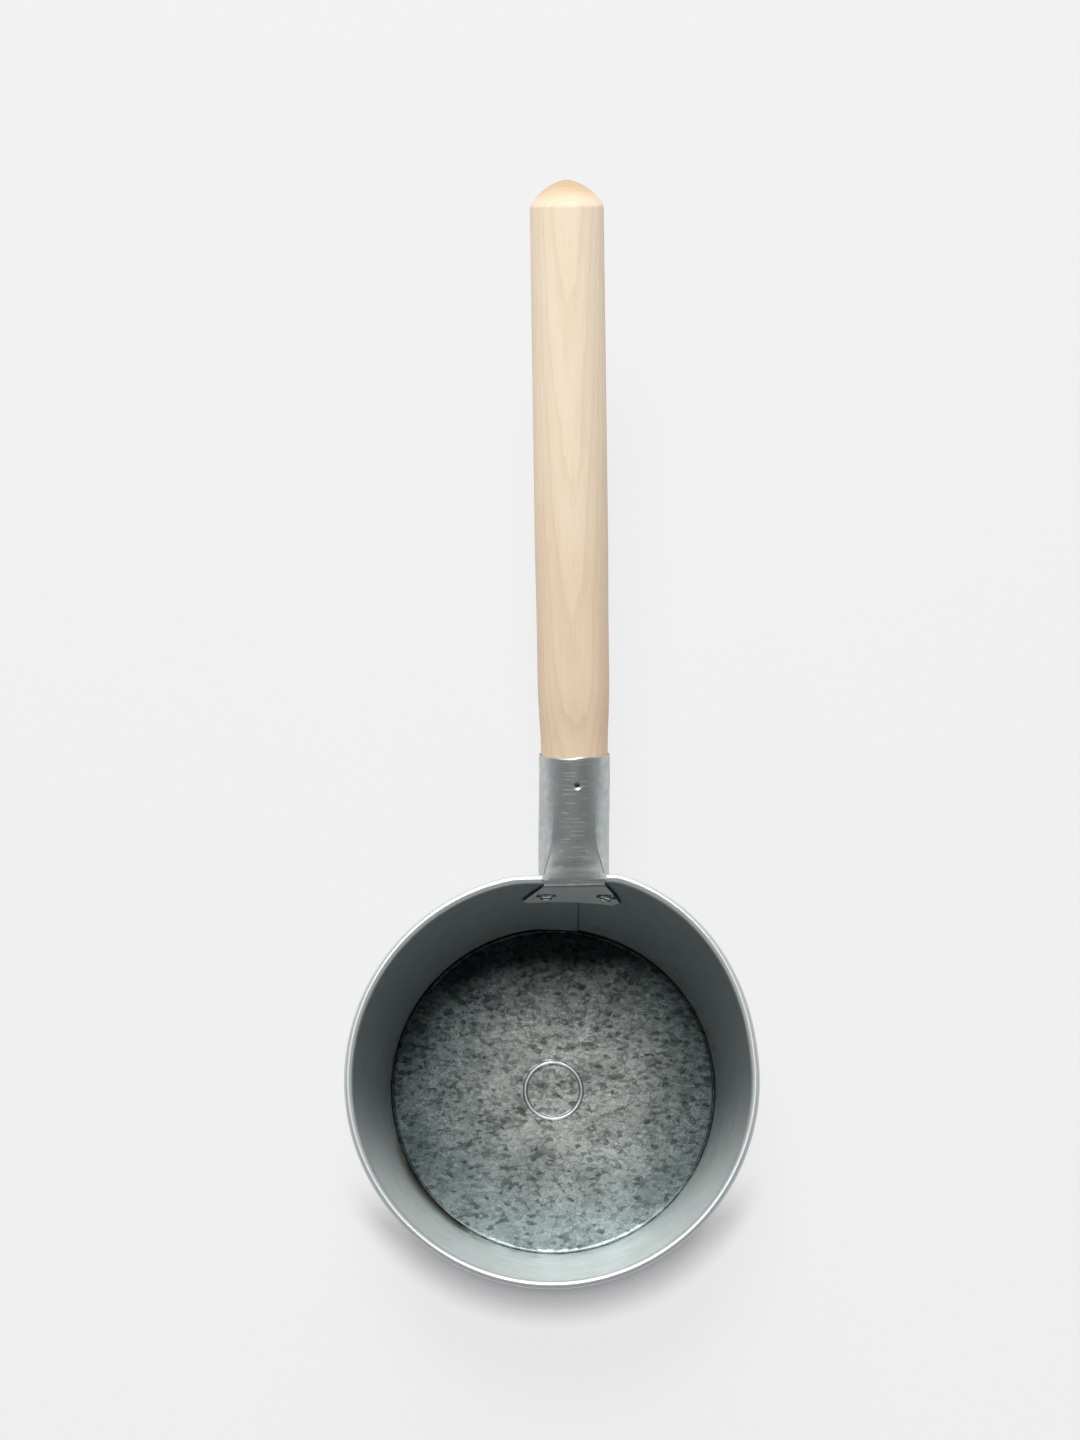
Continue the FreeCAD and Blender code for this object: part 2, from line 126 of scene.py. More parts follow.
def build_piece(name, points, faces, across=None, sharp=40):
    """Makes a mesh object from points and faces. Its UV map is across, the distances along the sheet in
    metres. Points that coincide are joined, faces are turned outwards, and edges sharper than an angle
    stay sharp."""
    mesh = bpy.data.meshes.new(name)
    mesh.from_pydata(points.reshape(-1, 3), [], faces)
    if across is not None:
        layer = mesh.uv_layers.new(name="Sheet")
        layer.data.foreach_set("uv", across.reshape(-1, 2)[faces.ravel()].ravel())
    shell = bmesh.new()
    shell.from_mesh(mesh)
    bmesh.ops.remove_doubles(shell, verts=shell.verts, dist=1e-7)
    bmesh.ops.recalc_face_normals(shell, faces=shell.faces)
    shell.to_mesh(mesh)
    shell.free()
    mesh.shade_smooth()
    mesh.set_sharp_from_angle(angle=math.radians(sharp))
    piece = bpy.data.objects.new(name, mesh)
    bpy.context.scene.collection.objects.link(piece)
    return piece


def grid_faces(columns, rows, round_columns=False, round_rows=False):
    """Four-cornered faces between neighbours of a grid numbered column by column, closed either way."""
    column = np.arange(columns if round_columns else columns - 1)[:, None]
    row = np.arange(rows if round_rows else rows - 1)[None, :]
    beside, above = (column + 1) % columns, (row + 1) % rows
    corners = [column * rows + row, beside * rows + row, beside * rows + above, column * rows + above]
    return np.stack(np.broadcast_arrays(*corners), -1).reshape(-1, 4)


def distances(points):
    """Distance gone along each column and along each row of a grid, as pairs."""
    def gone(axis):
        steps = np.linalg.norm(np.diff(points, axis=axis), axis=2)
        steps = np.insert(steps, 0, 0, axis=axis)
        return np.cumsum(steps.mean(axis=1 - axis, keepdims=True) + 0 * steps, axis=axis)
    return np.stack([gone(0), gone(1)], -1)


flange_room = 0.8 * mm
fold = flange_room + sheet
hem_top = 3 * mm
inside = [
    line((wall_radius(0, fold) + 0.7 * mm, 0), (wall_radius(0, fold) + 0.7 * mm, 0), 1),
    arc((wall_radius(0, fold) + 0.7 * mm, 0.7 * mm), 0.7 * mm, 270, 180, 6),
    line((wall_radius(0.7 * mm, fold), 0.7 * mm), (wall_radius(hem_top, fold), hem_top), 6),
    line((wall_radius(hem_top, fold), hem_top), (wall_radius(hem_top, flange_room), hem_top), 2),
    line((wall_radius(hem_top, flange_room), hem_top), (wall_radius(sheet, flange_room), sheet), 4),
    line((wall_radius(sheet, flange_room), sheet), (wall_radius(sheet), sheet), 2),
    line((wall_radius(sheet), sheet), (wall_radius(floor_level), floor_level), 4)]
face = line((wall_radius(floor_level), floor_level), (wall_radius(level), level), 62)
face = face[:-1]
curl = [
    arc((ring, level), bead, 172, -120, 34),
    line((ring + bead * math.cos(math.radians(-120)), level + bead * math.sin(math.radians(-120))),
         (ring + (bead - sheet) * math.cos(math.radians(-120)),
          level + (bead - sheet) * math.sin(math.radians(-120))), 2),
    arc((ring, level), bead - sheet, -120, 172, 24)]
shoulder = level - 1.2 * mm
outside = [
    line((wall_radius(shoulder, -sheet), shoulder), (wall_radius(1.2 * mm, -sheet), 1.2 * mm), 48),
    arc((wall_radius(0, -sheet) - 1.05 * mm, 1.2 * mm), 1.2 * mm, -8, -90, 7)]
profile = np.concatenate([*inside, face, *curl, *outside])
on_face = np.zeros(len(profile))
first = sum(len(part) for part in inside)
on_face[first:first + len(face)] = 1
on_face[-sum(len(part) for part in outside):] = -1

rim_inside = wall_radius(level)
turns = np.radians(np.arange(0, 360, 360 / 480))
edges = np.arccos((np.array([lap_edges[0], lap_edges[1]])[:, None] + np.array([-0.03, 0.03]) * mm) / rim_inside)
turns = np.sort(np.concatenate([turns, edges.ravel()]))[:, None]
lapwise = rim_inside * np.cos(turns)
near_lap = 1 - step(np.abs(np.degrees(turns) - 90), 25, 45)
straight = np.arccos(np.clip(lapwise / profile[:, 0], -0.95, 0.95))
azimuth = turns + near_lap * (straight - turns)
height = profile[:, 1] + 0 * azimuth
behind = (np.sin(turns) > 0) * 1.0
doubled = step(lapwise, lap_edges[0] - 7 * mm, lap_edges[0]) * (lapwise < lap_edges[1]) * behind
tucked = step(lapwise, lap_edges[0] - 7 * mm, lap_edges[0]) * (lapwise < lap_edges[0]) * behind
reach = step(height, floor_level - 1 * mm, floor_level) * (1 - step(height, level - 4 * mm, level - 1 * mm))
lapped = sheet * reach * (doubled * (on_face == 1) + tucked * (on_face == -1))
radius = profile[:, 0] + out_of_true(azimuth, height) + hand_marks(azimuth, height) * (on_face != 0) - lapped
wall_points = np.stack([radius * np.cos(azimuth), radius * np.sin(azimuth), height], -1)
wall = build_piece("wall_sheet", wall_points, grid_faces(*height.shape, True, True), distances(wall_points))


def colour(code):
    """Linear colour of an sRGB hex code: ((c + 0.055) / 1.055)^2.4 above 0.04045, and c / 12.92 below."""
    parts = [int(code[i:i + 2], 16) / 255 for i in (1, 3, 5)]
    return [((c + 0.055) / 1.055) ** 2.4 if c > 0.04045 else c / 12.92 for c in parts] + [1]


def add_node(tree, kind, settings=None, inputs=None):
    """Adds a shader node with its settings, and sets each input, by name or number, to a value, to an
    output, or to the first output that another node has in use."""
    made = tree.nodes.new("ShaderNode" + kind)
    for name, setting in (settings or {}).items():
        setattr(made, name, setting)
    for name, source in (inputs or {}).items():
        if isinstance(source, bpy.types.Node):
            source = next(socket for socket in source.outputs if socket.enabled)
        if isinstance(source, bpy.types.NodeSocket):
            tree.links.new(source, made.inputs[name])
        else:
            made.inputs[name].default_value = source
    return made


def new_material(name):
    """An empty node material, and add_node for its own nodes."""
    material = bpy.data.materials.new(name)
    material.use_nodes = True
    material.node_tree.nodes.clear()
    return material, partial(add_node, material.node_tree)


smooth = {"interpolation_type": "SMOOTHSTEP"}
in_colour = {"data_type": "RGBA"}

# Galvanised sheet, hot dipped and skin passed: dull bluish grey zinc, faintly clouded, with fine rolling
# lines round the wall, and painted shade that makes it darker towards the handle. The bead is rubbed
# smooth and pale. Painted shade darkens the inside in olive blotches low along the bottom seam, short
# darker upright ticks stand just above it, and a painted shadow lines the lap's step behind the handle.
galvanised_wall, add = new_material("galvanised_sheet_skin_passed")
place = add("TexCoord").outputs["Object"]
apart = add("SeparateXYZ", None, {0: place})
clouds = add("TexNoise", None, {"Vector": place, "Scale": 1 / (11 * mm), "Detail": 6.0, "Roughness": 0.6})
rolled = add("Mapping", None, {"Vector": place, "Scale": (1 / (16 * mm), 1 / (16 * mm), 1 / (0.8 * mm))})
rolling = add("TexNoise", None, {"Vector": rolled, "Scale": 1.0, "Detail": 4.0})
mixed = add("Mix", {"data_type": "FLOAT"}, {0: 0.3, 2: clouds, 3: rolling})
tint = add("ValToRGB", None, {"Fac": mixed})
tint.color_ramp.elements[0].position, tint.color_ramp.elements[1].position = 0.3, 0.7
tint.color_ramp.elements[0].color, tint.color_ramp.elements[1].color = colour("#d2dad8"), colour("#e6edeb")
# Short darker upright ticks just above the bottom seam.
upright = add("Mapping", None, {"Vector": place, "Scale": (1 / (1.6 * mm), 1 / (1.6 * mm), 1 / (30 * mm))})
upright_tick_noise = add("TexNoise", None, {"Vector": upright, "Scale": 1.0, "Detail": 2.0})
tick = add("MapRange", None, {"Value": upright_tick_noise, "From Min": 0.58, "From Max": 0.72})
tick_band = add("MapRange", None, {
    "Value": apart.outputs["Z"], "From Min": 7 * mm, "From Max": 14 * mm, "To Min": 0.45, "To Max": 0.0})
ticks = add("Math", {"operation": "MULTIPLY"}, {0: tick, 1: tick_band})
# Painted shade: the wall is painted darker towards the handle, where it faces away from the lamps.
shade_towards_handle = add("MapRange", smooth, {
    "Value": apart.outputs["Y"], "From Min": -58 * mm, "From Max": 5 * mm, "To Max": 0.9})
shaded_towards_handle = add("Mix", {"data_type": "RGBA", "blend_type": "MULTIPLY"}, {
    0: shade_towards_handle, 6: tint, 7: colour("#9a9fa1")})
ticked = add("Mix", in_colour, {0: ticks, 6: shaded_towards_handle, 7: colour("#6e756f")})
# Painted shade: the inner wall is painted darker olive, in blotches, low along the bottom seam, heaviest at the
# front left.
near_seam = add("MapRange", smooth, {
    "Value": apart.outputs["Z"], "From Min": 6 * mm, "From Max": 36 * mm, "To Min": 1.0, "To Max": 0.0})
shade_centre_distance = add("VectorMath", {"operation": "DISTANCE"}, {0: place, 1: (-58 * mm, -49 * mm, 5 * mm)})
near_shade_centre = add("MapRange", smooth, {
    "Value": shade_centre_distance, "From Min": 8 * mm, "From Max": 42 * mm, "To Min": 0.5, "To Max": 0.0})
blots = add("TexNoise", None, {"Vector": place, "Scale": 1 / (7 * mm), "Detail": 5.0, "Roughness": 0.65})
seam_shade_blotches = add("Math", {"operation": "ADD"}, {0: blots, 1: near_shade_centre})
seam_shade_share = add("MapRange", smooth, {"Value": seam_shade_blotches, "From Min": 0.48, "From Max": 0.9})
on_sheet = add("UVMap", {"uv_map": "Sheet"})
across = add("SeparateXYZ", None, {0: on_sheet})
inner_side = add("MapRange", None, {
    "Value": across.outputs["Y"], "From Min": 111 * mm, "From Max": 112 * mm, "To Min": 1.0, "To Max": 0.1})
low_inside = add("Math", {"operation": "MULTIPLY"}, {0: inner_side, 1: near_seam})
olive_seam_shade = add("Math", {"operation": "MULTIPLY"}, {0: seam_shade_share, 1: low_inside})
seam_shaded = add("Mix", in_colour, {0: olive_seam_shade, 6: ticked, 7: colour("#55523f")})
on_bead = add("MapRange", smooth, {
    "Value": apart.outputs["Z"], "From Min": level - 2.2 * mm, "From Max": level - 0.6 * mm})
# Painted shadow: a dark line down the inside where the lap's step stands, behind the handle.
off_lap = add("Math", {"operation": "SUBTRACT"}, {0: apart.outputs["X"], 1: lap_edges[1] + 0.15 * mm})
from_lap = add("Math", {"operation": "ABSOLUTE"}, {0: off_lap})
at_lap = add("MapRange", smooth, {
    "Value": from_lap, "From Min": 0.2 * mm, "From Max": 0.6 * mm, "To Min": 0.6, "To Max": 0.0})
at_back = add("Math", {"operation": "GREATER_THAN"}, {0: apart.outputs["Y"], 1: 0.0})
lap_step_shadow = add("Math", {"operation": "MULTIPLY"}, {0: at_lap, 1: at_back})
lap_step_shaded = add("Mix", in_colour, {0: lap_step_shadow, 6: seam_shaded, 7: colour("#30342f")})
rubbed = add("Mix", in_colour, {0: on_bead, 6: lap_step_shaded, 7: colour("#ccd1d0")})
metal = add("Mix", {"data_type": "FLOAT"}, {0: on_bead, 2: 0.45, 3: 0.55})
dull = add("MapRange", None, {
    "Value": mixed, "From Min": 0.3, "From Max": 0.7, "To Min": 0.56, "To Max": 0.46})
rough = add("Mix", {"data_type": "FLOAT"}, {0: on_bead, 2: dull, 3: 0.38})
dents = add("Bump", None, {"Strength": 0.5, "Distance": 0.12 * mm, "Height": clouds})
zinc = add("BsdfPrincipled", None, {
    "Base Color": rubbed, "Metallic": metal, "Roughness": rough, "Normal": dents})
add("OutputMaterial", None, {"Surface": zinc})
wall.data.materials.append(galvanised_wall)
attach(wall, "root")
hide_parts("bowl_wall")

# ---------------------------------------------------------------------------------------------------
# Wire in the rim: mild steel wire with a drawn finish, laid in the curl of the wall's top edge, its
# two ends butted. It shows only through the slit below the curl.
turns = np.radians(np.arange(0, 360, 1.5))[:, None]
section = np.radians(np.arange(0, 360, 30))[None, :]
radius = ring + wire_radius * np.cos(section) + out_of_true(turns, level + 0 * turns)
wire_points = np.stack([radius * np.cos(turns), radius * np.sin(turns),
                        level + wire_radius * np.sin(section) + 0 * turns], -1)
wire = build_piece("wire_in_rim", wire_points, grid_faces(*radius.shape, True, True), distances(wire_points))
drawn_wire, add = new_material("drawn_steel_wire")
place = add("TexCoord").outputs["Object"]
lines = add("TexNoise", None, {"Vector": place, "Scale": 1 / (0.8 * mm), "Detail": 3.0})
tint = add("ValToRGB", None, {"Fac": lines})
tint.color_ramp.elements[0].color, tint.color_ramp.elements[1].color = colour("#7d8180"), colour("#a8acab")
steel = add("BsdfPrincipled", None, {"Base Color": tint, "Metallic": 1.0, "Roughness": 0.35})
add("OutputMaterial", None, {"Surface": steel})
wire.data.materials.append(drawn_wire)
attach(wire, "root")
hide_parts("rim_wire")

# ---------------------------------------------------------------------------------------------------
# Bowl's bottom: a disc of hot dipped galvanised steel with a feathery zinc spangle. Its edge is turned
# down into a flange that the wall's foot grips, and one plain ring is pressed up in its middle.
corner = 0.7 * mm
lip_height = 0.3 * mm
ring_mark_radius, ring_mark_width, ring_mark_height = 13 * mm, 2.4 * mm, 0.5 * mm
corner_level = floor_level - corner
corner_radius = wall_radius(corner_level, 0.05 * mm + corner)
foot = sheet + 0.05 * mm


def disc_height(radius, azimuth):
    """Height of the disc over its flat: the pressed ring, a bump of one cosine wave, a low lip of the same
    form that seaming has raised along the edge, slight buckles of 0.1 mm, and a sag in the middle of
    0.9 mm (1 - (r / R)^2)."""
    bump = 0.5 + 0.5 * np.cos(np.pi * np.clip((radius - ring_mark_radius) / (ring_mark_width / 2), -1, 1))
    lip = 0.5 + 0.5 * np.cos(np.pi * np.clip((radius - corner_radius + 0.35 * mm) / (0.75 * mm), -1, 1))
    buckles = (0.07 * np.sin(3 * azimuth + 0.7) * np.sin(radius / (13 * mm))
               + 0.05 * np.sin(5 * azimuth - radius / (9 * mm)))
    sag = 0.9 * mm * (1 - (radius / corner_radius) ** 2)
    buckles = buckles * mm * step(radius, 4 * mm, 30 * mm) * (1 - step(radius, 62 * mm, 70 * mm))
    return ring_mark_height * bump + lip_height * lip - sag + buckles


radii = np.concatenate([np.linspace(0, ring_mark_radius - 1.6 * mm, 12),
                        np.linspace(ring_mark_radius - 1.4 * mm, ring_mark_radius + 1.4 * mm, 15),
                        np.linspace(ring_mark_radius + 1.6 * mm, corner_radius - 1.4 * mm, 50),
                        np.linspace(corner_radius - 1.2 * mm, corner_radius, 9)[:-1]])
top = np.stack([radii, floor_level + 0 * radii], 1)
outer_face, inner_face, bend = 0.05 * mm, 0.75 * mm, corner_level - 0.2 * mm
flange = [(wall_radius(corner_level, outer_face), bend), (wall_radius(foot, outer_face), foot),
          (wall_radius(foot, inner_face), foot), (wall_radius(corner_level, inner_face), bend)]
edge = np.concatenate([arc((corner_radius, corner_level), corner, 90, -8, 10),
                       line(flange[0], flange[1], 4), line(flange[1], flange[2], 2),
                       line(flange[2], flange[3], 4),
                       arc((corner_radius, corner_level), corner - sheet, -8, 90, 8)])
under = np.stack([radii[::-1], floor_level - sheet + 0 * radii], 1)
profile = np.concatenate([top, edge, under])
turns = np.radians(np.arange(0, 360, 1.0))[:, None]
radius = profile[:, 0] + 0 * turns
flat = np.concatenate([np.ones(len(top)), np.zeros(len(edge)), np.ones(len(under))])
height = profile[:, 1] + flat * disc_height(radius, turns)
bottom_points = np.stack([radius * np.cos(turns), radius * np.sin(turns), height], -1)
bottom = build_piece("bottom_disc", bottom_points, grid_faces(*radius.shape, True, False),
                     distances(bottom_points))

# Hot dipped zinc with its spangle: lapping flakes of 3.6 by 2.4 mm and smaller, each with feathery
# dendrites that run their own way and shine differently, and with thin bright or dark edges here and
# there. It is clouded in warm and bluish grey. Painted light leaves it brightest low in the middle and
# at its front, with painted shade towards the sides, the top and the seam, and a painted highlight on
# the lip at the front.
galvanised_bottom, add = new_material("galvanised_sheet_spangled")
place = add("TexCoord").outputs["Object"]
warp = add("TexNoise", None, {"Vector": place, "Scale": 1 / (1.2 * mm), "Detail": 2.0})
shift = add("VectorMath", {"operation": "MULTIPLY_ADD"}, {
    0: warp.outputs["Color"], 1: (0.9 * mm, 0.7 * mm, 0), 2: place})
longer = add("Mapping", None, {
    "Vector": shift, "Rotation": (0, 0, 0.2), "Scale": (1 / (3.6 * mm), 1 / (2.4 * mm), 1 / (3 * mm))})
flakes = add("TexVoronoi", None, {"Vector": longer, "Scale": 1.0})
flake_edges = add("TexVoronoi", {"feature": "DISTANCE_TO_EDGE"}, {"Vector": longer, "Scale": 1.0})
chips = add("TexVoronoi", None, {"Vector": longer, "Scale": 1.6})
chip = add("SeparateColor", None, {0: chips.outputs["Color"]})
grain = add("SeparateColor", None, {0: flakes.outputs["Color"]})
own_way = add("MapRange", None, {"Value": grain.outputs[1], "To Min": -1.0, "To Max": 1.3})
turned = add("VectorRotate", {"rotation_type": "Z_AXIS"}, {"Vector": place, "Angle": own_way})
drawn_out = add("Mapping", None, {"Vector": turned, "Scale": (1 / (1.5 * mm), 1 / (0.36 * mm), 1 / (2 * mm))})
dendrites = add("TexNoise", None, {
    "Vector": drawn_out, "Scale": 1.0, "Detail": 5.0, "Roughness": 0.75, "Distortion": 0.5})
patches = add("TexNoise", None, {"Vector": place, "Scale": 1 / (24 * mm), "Detail": 3.0})
flaked = add("Mix", {"data_type": "FLOAT"}, {0: 0.55, 2: grain.outputs[0], 3: chip.outputs[0]})
both = add("Mix", {"data_type": "FLOAT"}, {0: 0.34, 2: flaked, 3: dendrites})
tone = add("Math", {"operation": "MULTIPLY_ADD"}, {0: patches, 1: 0.35, 2: both})
tint = add("ValToRGB", None, {"Fac": tone})
tint.color_ramp.elements[0].position, tint.color_ramp.elements[1].position = 0.36, 1.0
tint.color_ramp.elements[0].color, tint.color_ramp.elements[1].color = colour("#585e5d"), colour("#d6dbd9")
warmth = add("VectorMath", {"operation": "DISTANCE"}, {0: place, 1: (8 * mm, 8 * mm, 5 * mm)})
cool = add("MapRange", smooth, {"Value": warmth, "From Min": 20 * mm, "From Max": 80 * mm})
cast = add("Mix", in_colour, {0: cool, 6: colour("#fffefa"), 7: colour("#c3d0d1")})
cooled = add("Mix", {"data_type": "RGBA", "blend_type": "MULTIPLY"}, {0: 1.0, 6: tint, 7: cast})
apart = add("SeparateXYZ", None, {0: place})
# Painted light: the disc is left brightest in an oval low in its middle, and painted darker away from it,
# towards the sides, the top and the seam.
highlight_oval = add("Mapping", None, {
    "Vector": place, "Location": (0, 50 / 100, 0), "Scale": (1 / (70 * mm), 1 / (100 * mm), 0)})
from_highlight_oval = add("VectorMath", {"operation": "LENGTH"}, {0: highlight_oval})
# Painted shade: all but the front of the disc is painted darker, so that its front looks lit.
shade_behind_front = add("MapRange", smooth, {"Value": apart.outputs["Y"], "From Min": -68 * mm, "From Max": -30 * mm})
lit_front_painted = add("Mix", {"data_type": "RGBA", "blend_type": "MULTIPLY"}, {
    0: shade_behind_front, 6: cooled, 7: colour("#cccccc")})
off_highlight_shade = add("MapRange", smooth, {"Value": from_highlight_oval, "From Min": 0.3, "From Max": 1.4})
broken = add("MapRange", smooth, {
    "Value": patches, "From Min": 0.42, "From Max": 0.62, "To Min": 0.1, "To Max": 1.0})
thin_edge = add("MapRange", None, {
    "Value": flake_edges, "From Min": 0.015, "From Max": 0.065, "To Min": 1.0, "To Max": 0.0})
edge_share = add("Math", {"operation": "MULTIPLY"}, {0: thin_edge, 1: broken})
few = add("MapRange", None, {"Value": dendrites, "From Min": 0.48, "From Max": 0.6, "To Max": 0.95})
some_edges = add("Math", {"operation": "MULTIPLY"}, {0: edge_share, 1: few})
edged = add("Mix", {"data_type": "RGBA", "blend_type": "SCREEN"}, {
    0: some_edges, 6: lit_front_painted, 7: colour("#b4bab9")})
chip_edges = add("TexVoronoi", {"feature": "DISTANCE_TO_EDGE"}, {"Vector": longer, "Scale": 1.6})
thin_chip = add("MapRange", None, {
    "Value": chip_edges, "From Min": 0.015, "From Max": 0.08, "To Min": 0.6, "To Max": 0.0})
chosen = add("MapRange", None, {"Value": chip.outputs[1], "From Min": 0.45, "From Max": 0.55})
chip_share = add("Math", {"operation": "MULTIPLY"}, {0: thin_chip, 1: chosen})
outlined = add("Mix", {"data_type": "RGBA", "blend_type": "MULTIPLY"}, {
    0: chip_share, 6: edged, 7: colour("#7d8382")})
shaded_off_highlight = add("Mix", {"data_type": "RGBA", "blend_type": "MULTIPLY"}, {
    0: off_highlight_shade, 6: outlined, 7: colour("#858b8c")})
flat_place = add("CombineXYZ", None, {"X": apart.outputs["X"], "Y": apart.outputs["Y"], "Z": 0.0})
from_middle = add("VectorMath", {"operation": "LENGTH"}, {0: flat_place})
off_crest = add("Math", {"operation": "SUBTRACT"}, {0: from_middle, 1: ring_mark_radius})
from_crest = add("Math", {"operation": "ABSOLUTE"}, {0: off_crest})
on_crest = add("MapRange", smooth, {
    "Value": from_crest, "From Min": 0.35 * mm, "From Max": 0.95 * mm, "To Min": 0.8, "To Max": 0.0})
# Painted highlight: a thin bright line on the lip, at the front only. The pressed ring's crest is paler all
# round.
off_lip = add("Math", {"operation": "SUBTRACT"}, {0: from_middle, 1: corner_radius - 0.3 * mm})
from_lip = add("Math", {"operation": "ABSOLUTE"}, {0: off_lip})
on_lip = add("MapRange", smooth, {
    "Value": from_lip, "From Min": 0.2 * mm, "From Max": 0.55 * mm, "To Min": 0.42, "To Max": 0.0})
front_of_lip = add("MapRange", smooth, {
    "Value": apart.outputs["Y"], "From Min": -66 * mm, "From Max": -42 * mm, "To Min": 1.0, "To Max": 0.0})
lip_highlight = add("Math", {"operation": "MULTIPLY"}, {0: on_lip, 1: front_of_lip})
raised = add("Math", {"operation": "MAXIMUM"}, {0: on_crest, 1: lip_highlight})
crest_paled_and_lip_lit = add("Mix", in_colour, {0: raised, 6: shaded_off_highlight, 7: colour("#dfe3e2")})
rough = add("MapRange", None, {
    "Value": both, "From Min": 0.35, "From Max": 0.65, "To Min": 0.5, "To Max": 0.32})
relief = add("Bump", None, {"Strength": 0.35, "Distance": 0.05 * mm, "Height": dendrites})
zinc = add("BsdfPrincipled", None, {
    "Base Color": crest_paled_and_lip_lit, "Metallic": 0.92, "Roughness": rough, "Normal": relief})
add("OutputMaterial", None, {"Surface": zinc})
bottom.data.materials.append(galvanised_bottom)
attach(bottom, "root")
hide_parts("bowl_bottom")

# ---------------------------------------------------------------------------------------------------
# Handle's socket: one piece of galvanised sheet, rolled to a tube round the wood and open along its
# underside. At the bowl it is hammered flat into a strip that folds over the rim and goes down inside
# as a tab, held by two rivets. Its sides end against the bowl.
grip = next(mount for mount in frame["record"]["mounts"] if mount["name"] == "grip")
along = np.array(grip["axis"])
upward = np.cross([1, 0, 0], along)
socket_fit = 15.05 * mm
socket_radius = socket_fit + sheet
socket_length = 51.6 * mm
handle_x = grip["pos_m"][0]
axis_start = (np.array([handle_x, ring, wall_high.z + 0.75 * mm]) - socket_fit * upward)
neck_half = 13.5 * mm
crease_angle = math.radians(34)
flat_run, crease_run = 44 * mm, 15 * mm
seam_angle = math.pi - 0.75 * mm / socket_radius
socket_shift = 1.0 * mm
nail_distance, nail_turn = socket_length - 12 * mm, math.radians(4)
rivet_level = level - 20 * mm * math.cos(lean)
rivet_places = (handle_x - neck_half, handle_x + neck_half)


def wall_y(across, height, base):
    """How far along y a surface round the bowl lies, at a distance across the handle and a height: the
    root of (base + the wall's distance out of true)^2 - across^2, worked out four times over."""
    y = np.sqrt(base ** 2 - across ** 2)
    for _ in range(4):
        azimuth = np.arctan2(y, across)
        y = np.sqrt((base + out_of_true(azimuth, height)) ** 2 - across ** 2)
    return y


def tube_point(angle, distance):
    """Point of the socket's outer face at an angle from its top, at a distance from the rim. The section
    is a circle. It goes to a box, a third of the way over 44 mm and the rest over the last 15 mm: the top,
    within the crease's angle, to a straight strip of the neck's width, and the sides, from there to the
    widest point, to near upright. The nail has pressed a dimple into the top, and the fold a valley across
    it just before the rim."""
    near = (0.32 * np.clip(1 - distance / flat_run, 0, 1.2) ** 1.4
            + 0.68 * np.clip(1 - distance / crease_run, 0, 1.3) ** 1.25)
    side, rise = socket_radius * np.sin(angle), socket_radius * np.cos(angle)
    share = np.abs(angle) / crease_angle
    down = np.clip((np.abs(angle) - crease_angle) / (math.pi / 2 - crease_angle), 0, 1)
    box_side = np.sign(angle) * np.where(
        share <= 1, neck_half * share, neck_half + (socket_radius - neck_half) * down ** 0.6)
    box_rise = np.where(share <= 1, socket_radius, socket_radius * (1 - down ** 0.8))
    boxed = near * (np.abs(angle) < math.pi / 2)
    side, rise = side + boxed * (box_side - side), rise + boxed * (box_rise - rise)
    dimple = np.hypot(socket_radius * (angle - nail_turn), distance - nail_distance)
    rise = rise - 0.95 * mm * (1 - step(dimple, 1.0 * mm, 2.1 * mm))
    valley = np.exp(-((distance - 3.4 * mm) / (1.7 * mm)) ** 2) * (1 - step(share, 0.55, 1.0))
    rise = rise - 0.1 * mm * valley
    drift = -socket_shift * step(-distance, -socket_length, 0)
    middle = axis_start + distance[..., None] * along
    return middle + rise[..., None] * upward + (side + drift)[..., None] * np.array([1, 0, 0])


def bowl_clearance(points):
    """How far points are outside the bowl's wall and bead, less 0.3 mm of play."""
    azimuth = np.arctan2(points[..., 1], points[..., 0])
    radius = np.hypot(points[..., 0], points[..., 1]) - out_of_true(azimuth, points[..., 2])
    beside = radius - wall_radius(points[..., 2], -sheet)
    drop = np.clip(np.abs(points[..., 2] - level), 0, bead)
    round_bead = radius - ring - np.sqrt(bead ** 2 - drop ** 2)
    round_bead = np.where(np.abs(points[..., 2] - level) < bead, round_bead, 1)
    return np.minimum(beside, round_bead) - 0.3 * mm


inner = np.linspace(-crease_angle, crease_angle, 71)
outer = np.concatenate([np.linspace(crease_angle, math.pi / 2, 31)[1:],
                        np.linspace(math.pi / 2, seam_angle, 31)[1:]])
angle = np.concatenate([-outer[::-1], inner, outer])[:, None]
low, high = np.full(angle.shape, -6 * mm), np.full(angle.shape, socket_length)
for _ in range(40):
    half = (low + high) / 2
    free = bowl_clearance(tube_point(angle, half)) > 0
    low, high = np.where(free, low, half), np.where(free, half, high)
fold_start, fold_end = 104.5, 172
fold_y = (wall_y(handle_x - socket_shift, np.array(level), ring)
          + (bead + 0.8 * mm) * math.cos(math.radians(fold_start)))
fold_distance = (fold_y - axis_start[1] - socket_radius * upward[1]) / along[1]
end = np.where(np.abs(angle) <= crease_angle + 1e-6, fold_distance, np.maximum(high, fold_distance))
mouth = socket_length + 0.25 * mm * np.sin(3 * angle + 0.6) + 0.15 * mm * np.sin(7 * angle)
t = np.concatenate([np.linspace(0, 0.18, 12), np.linspace(0.18, 0.34, 26)[1:],
                    np.linspace(0.34, 1, 64)[1:]])[None, :]
distance = mouth + t * (end - mouth)
tube_points = tube_point(angle + 0 * t, distance)

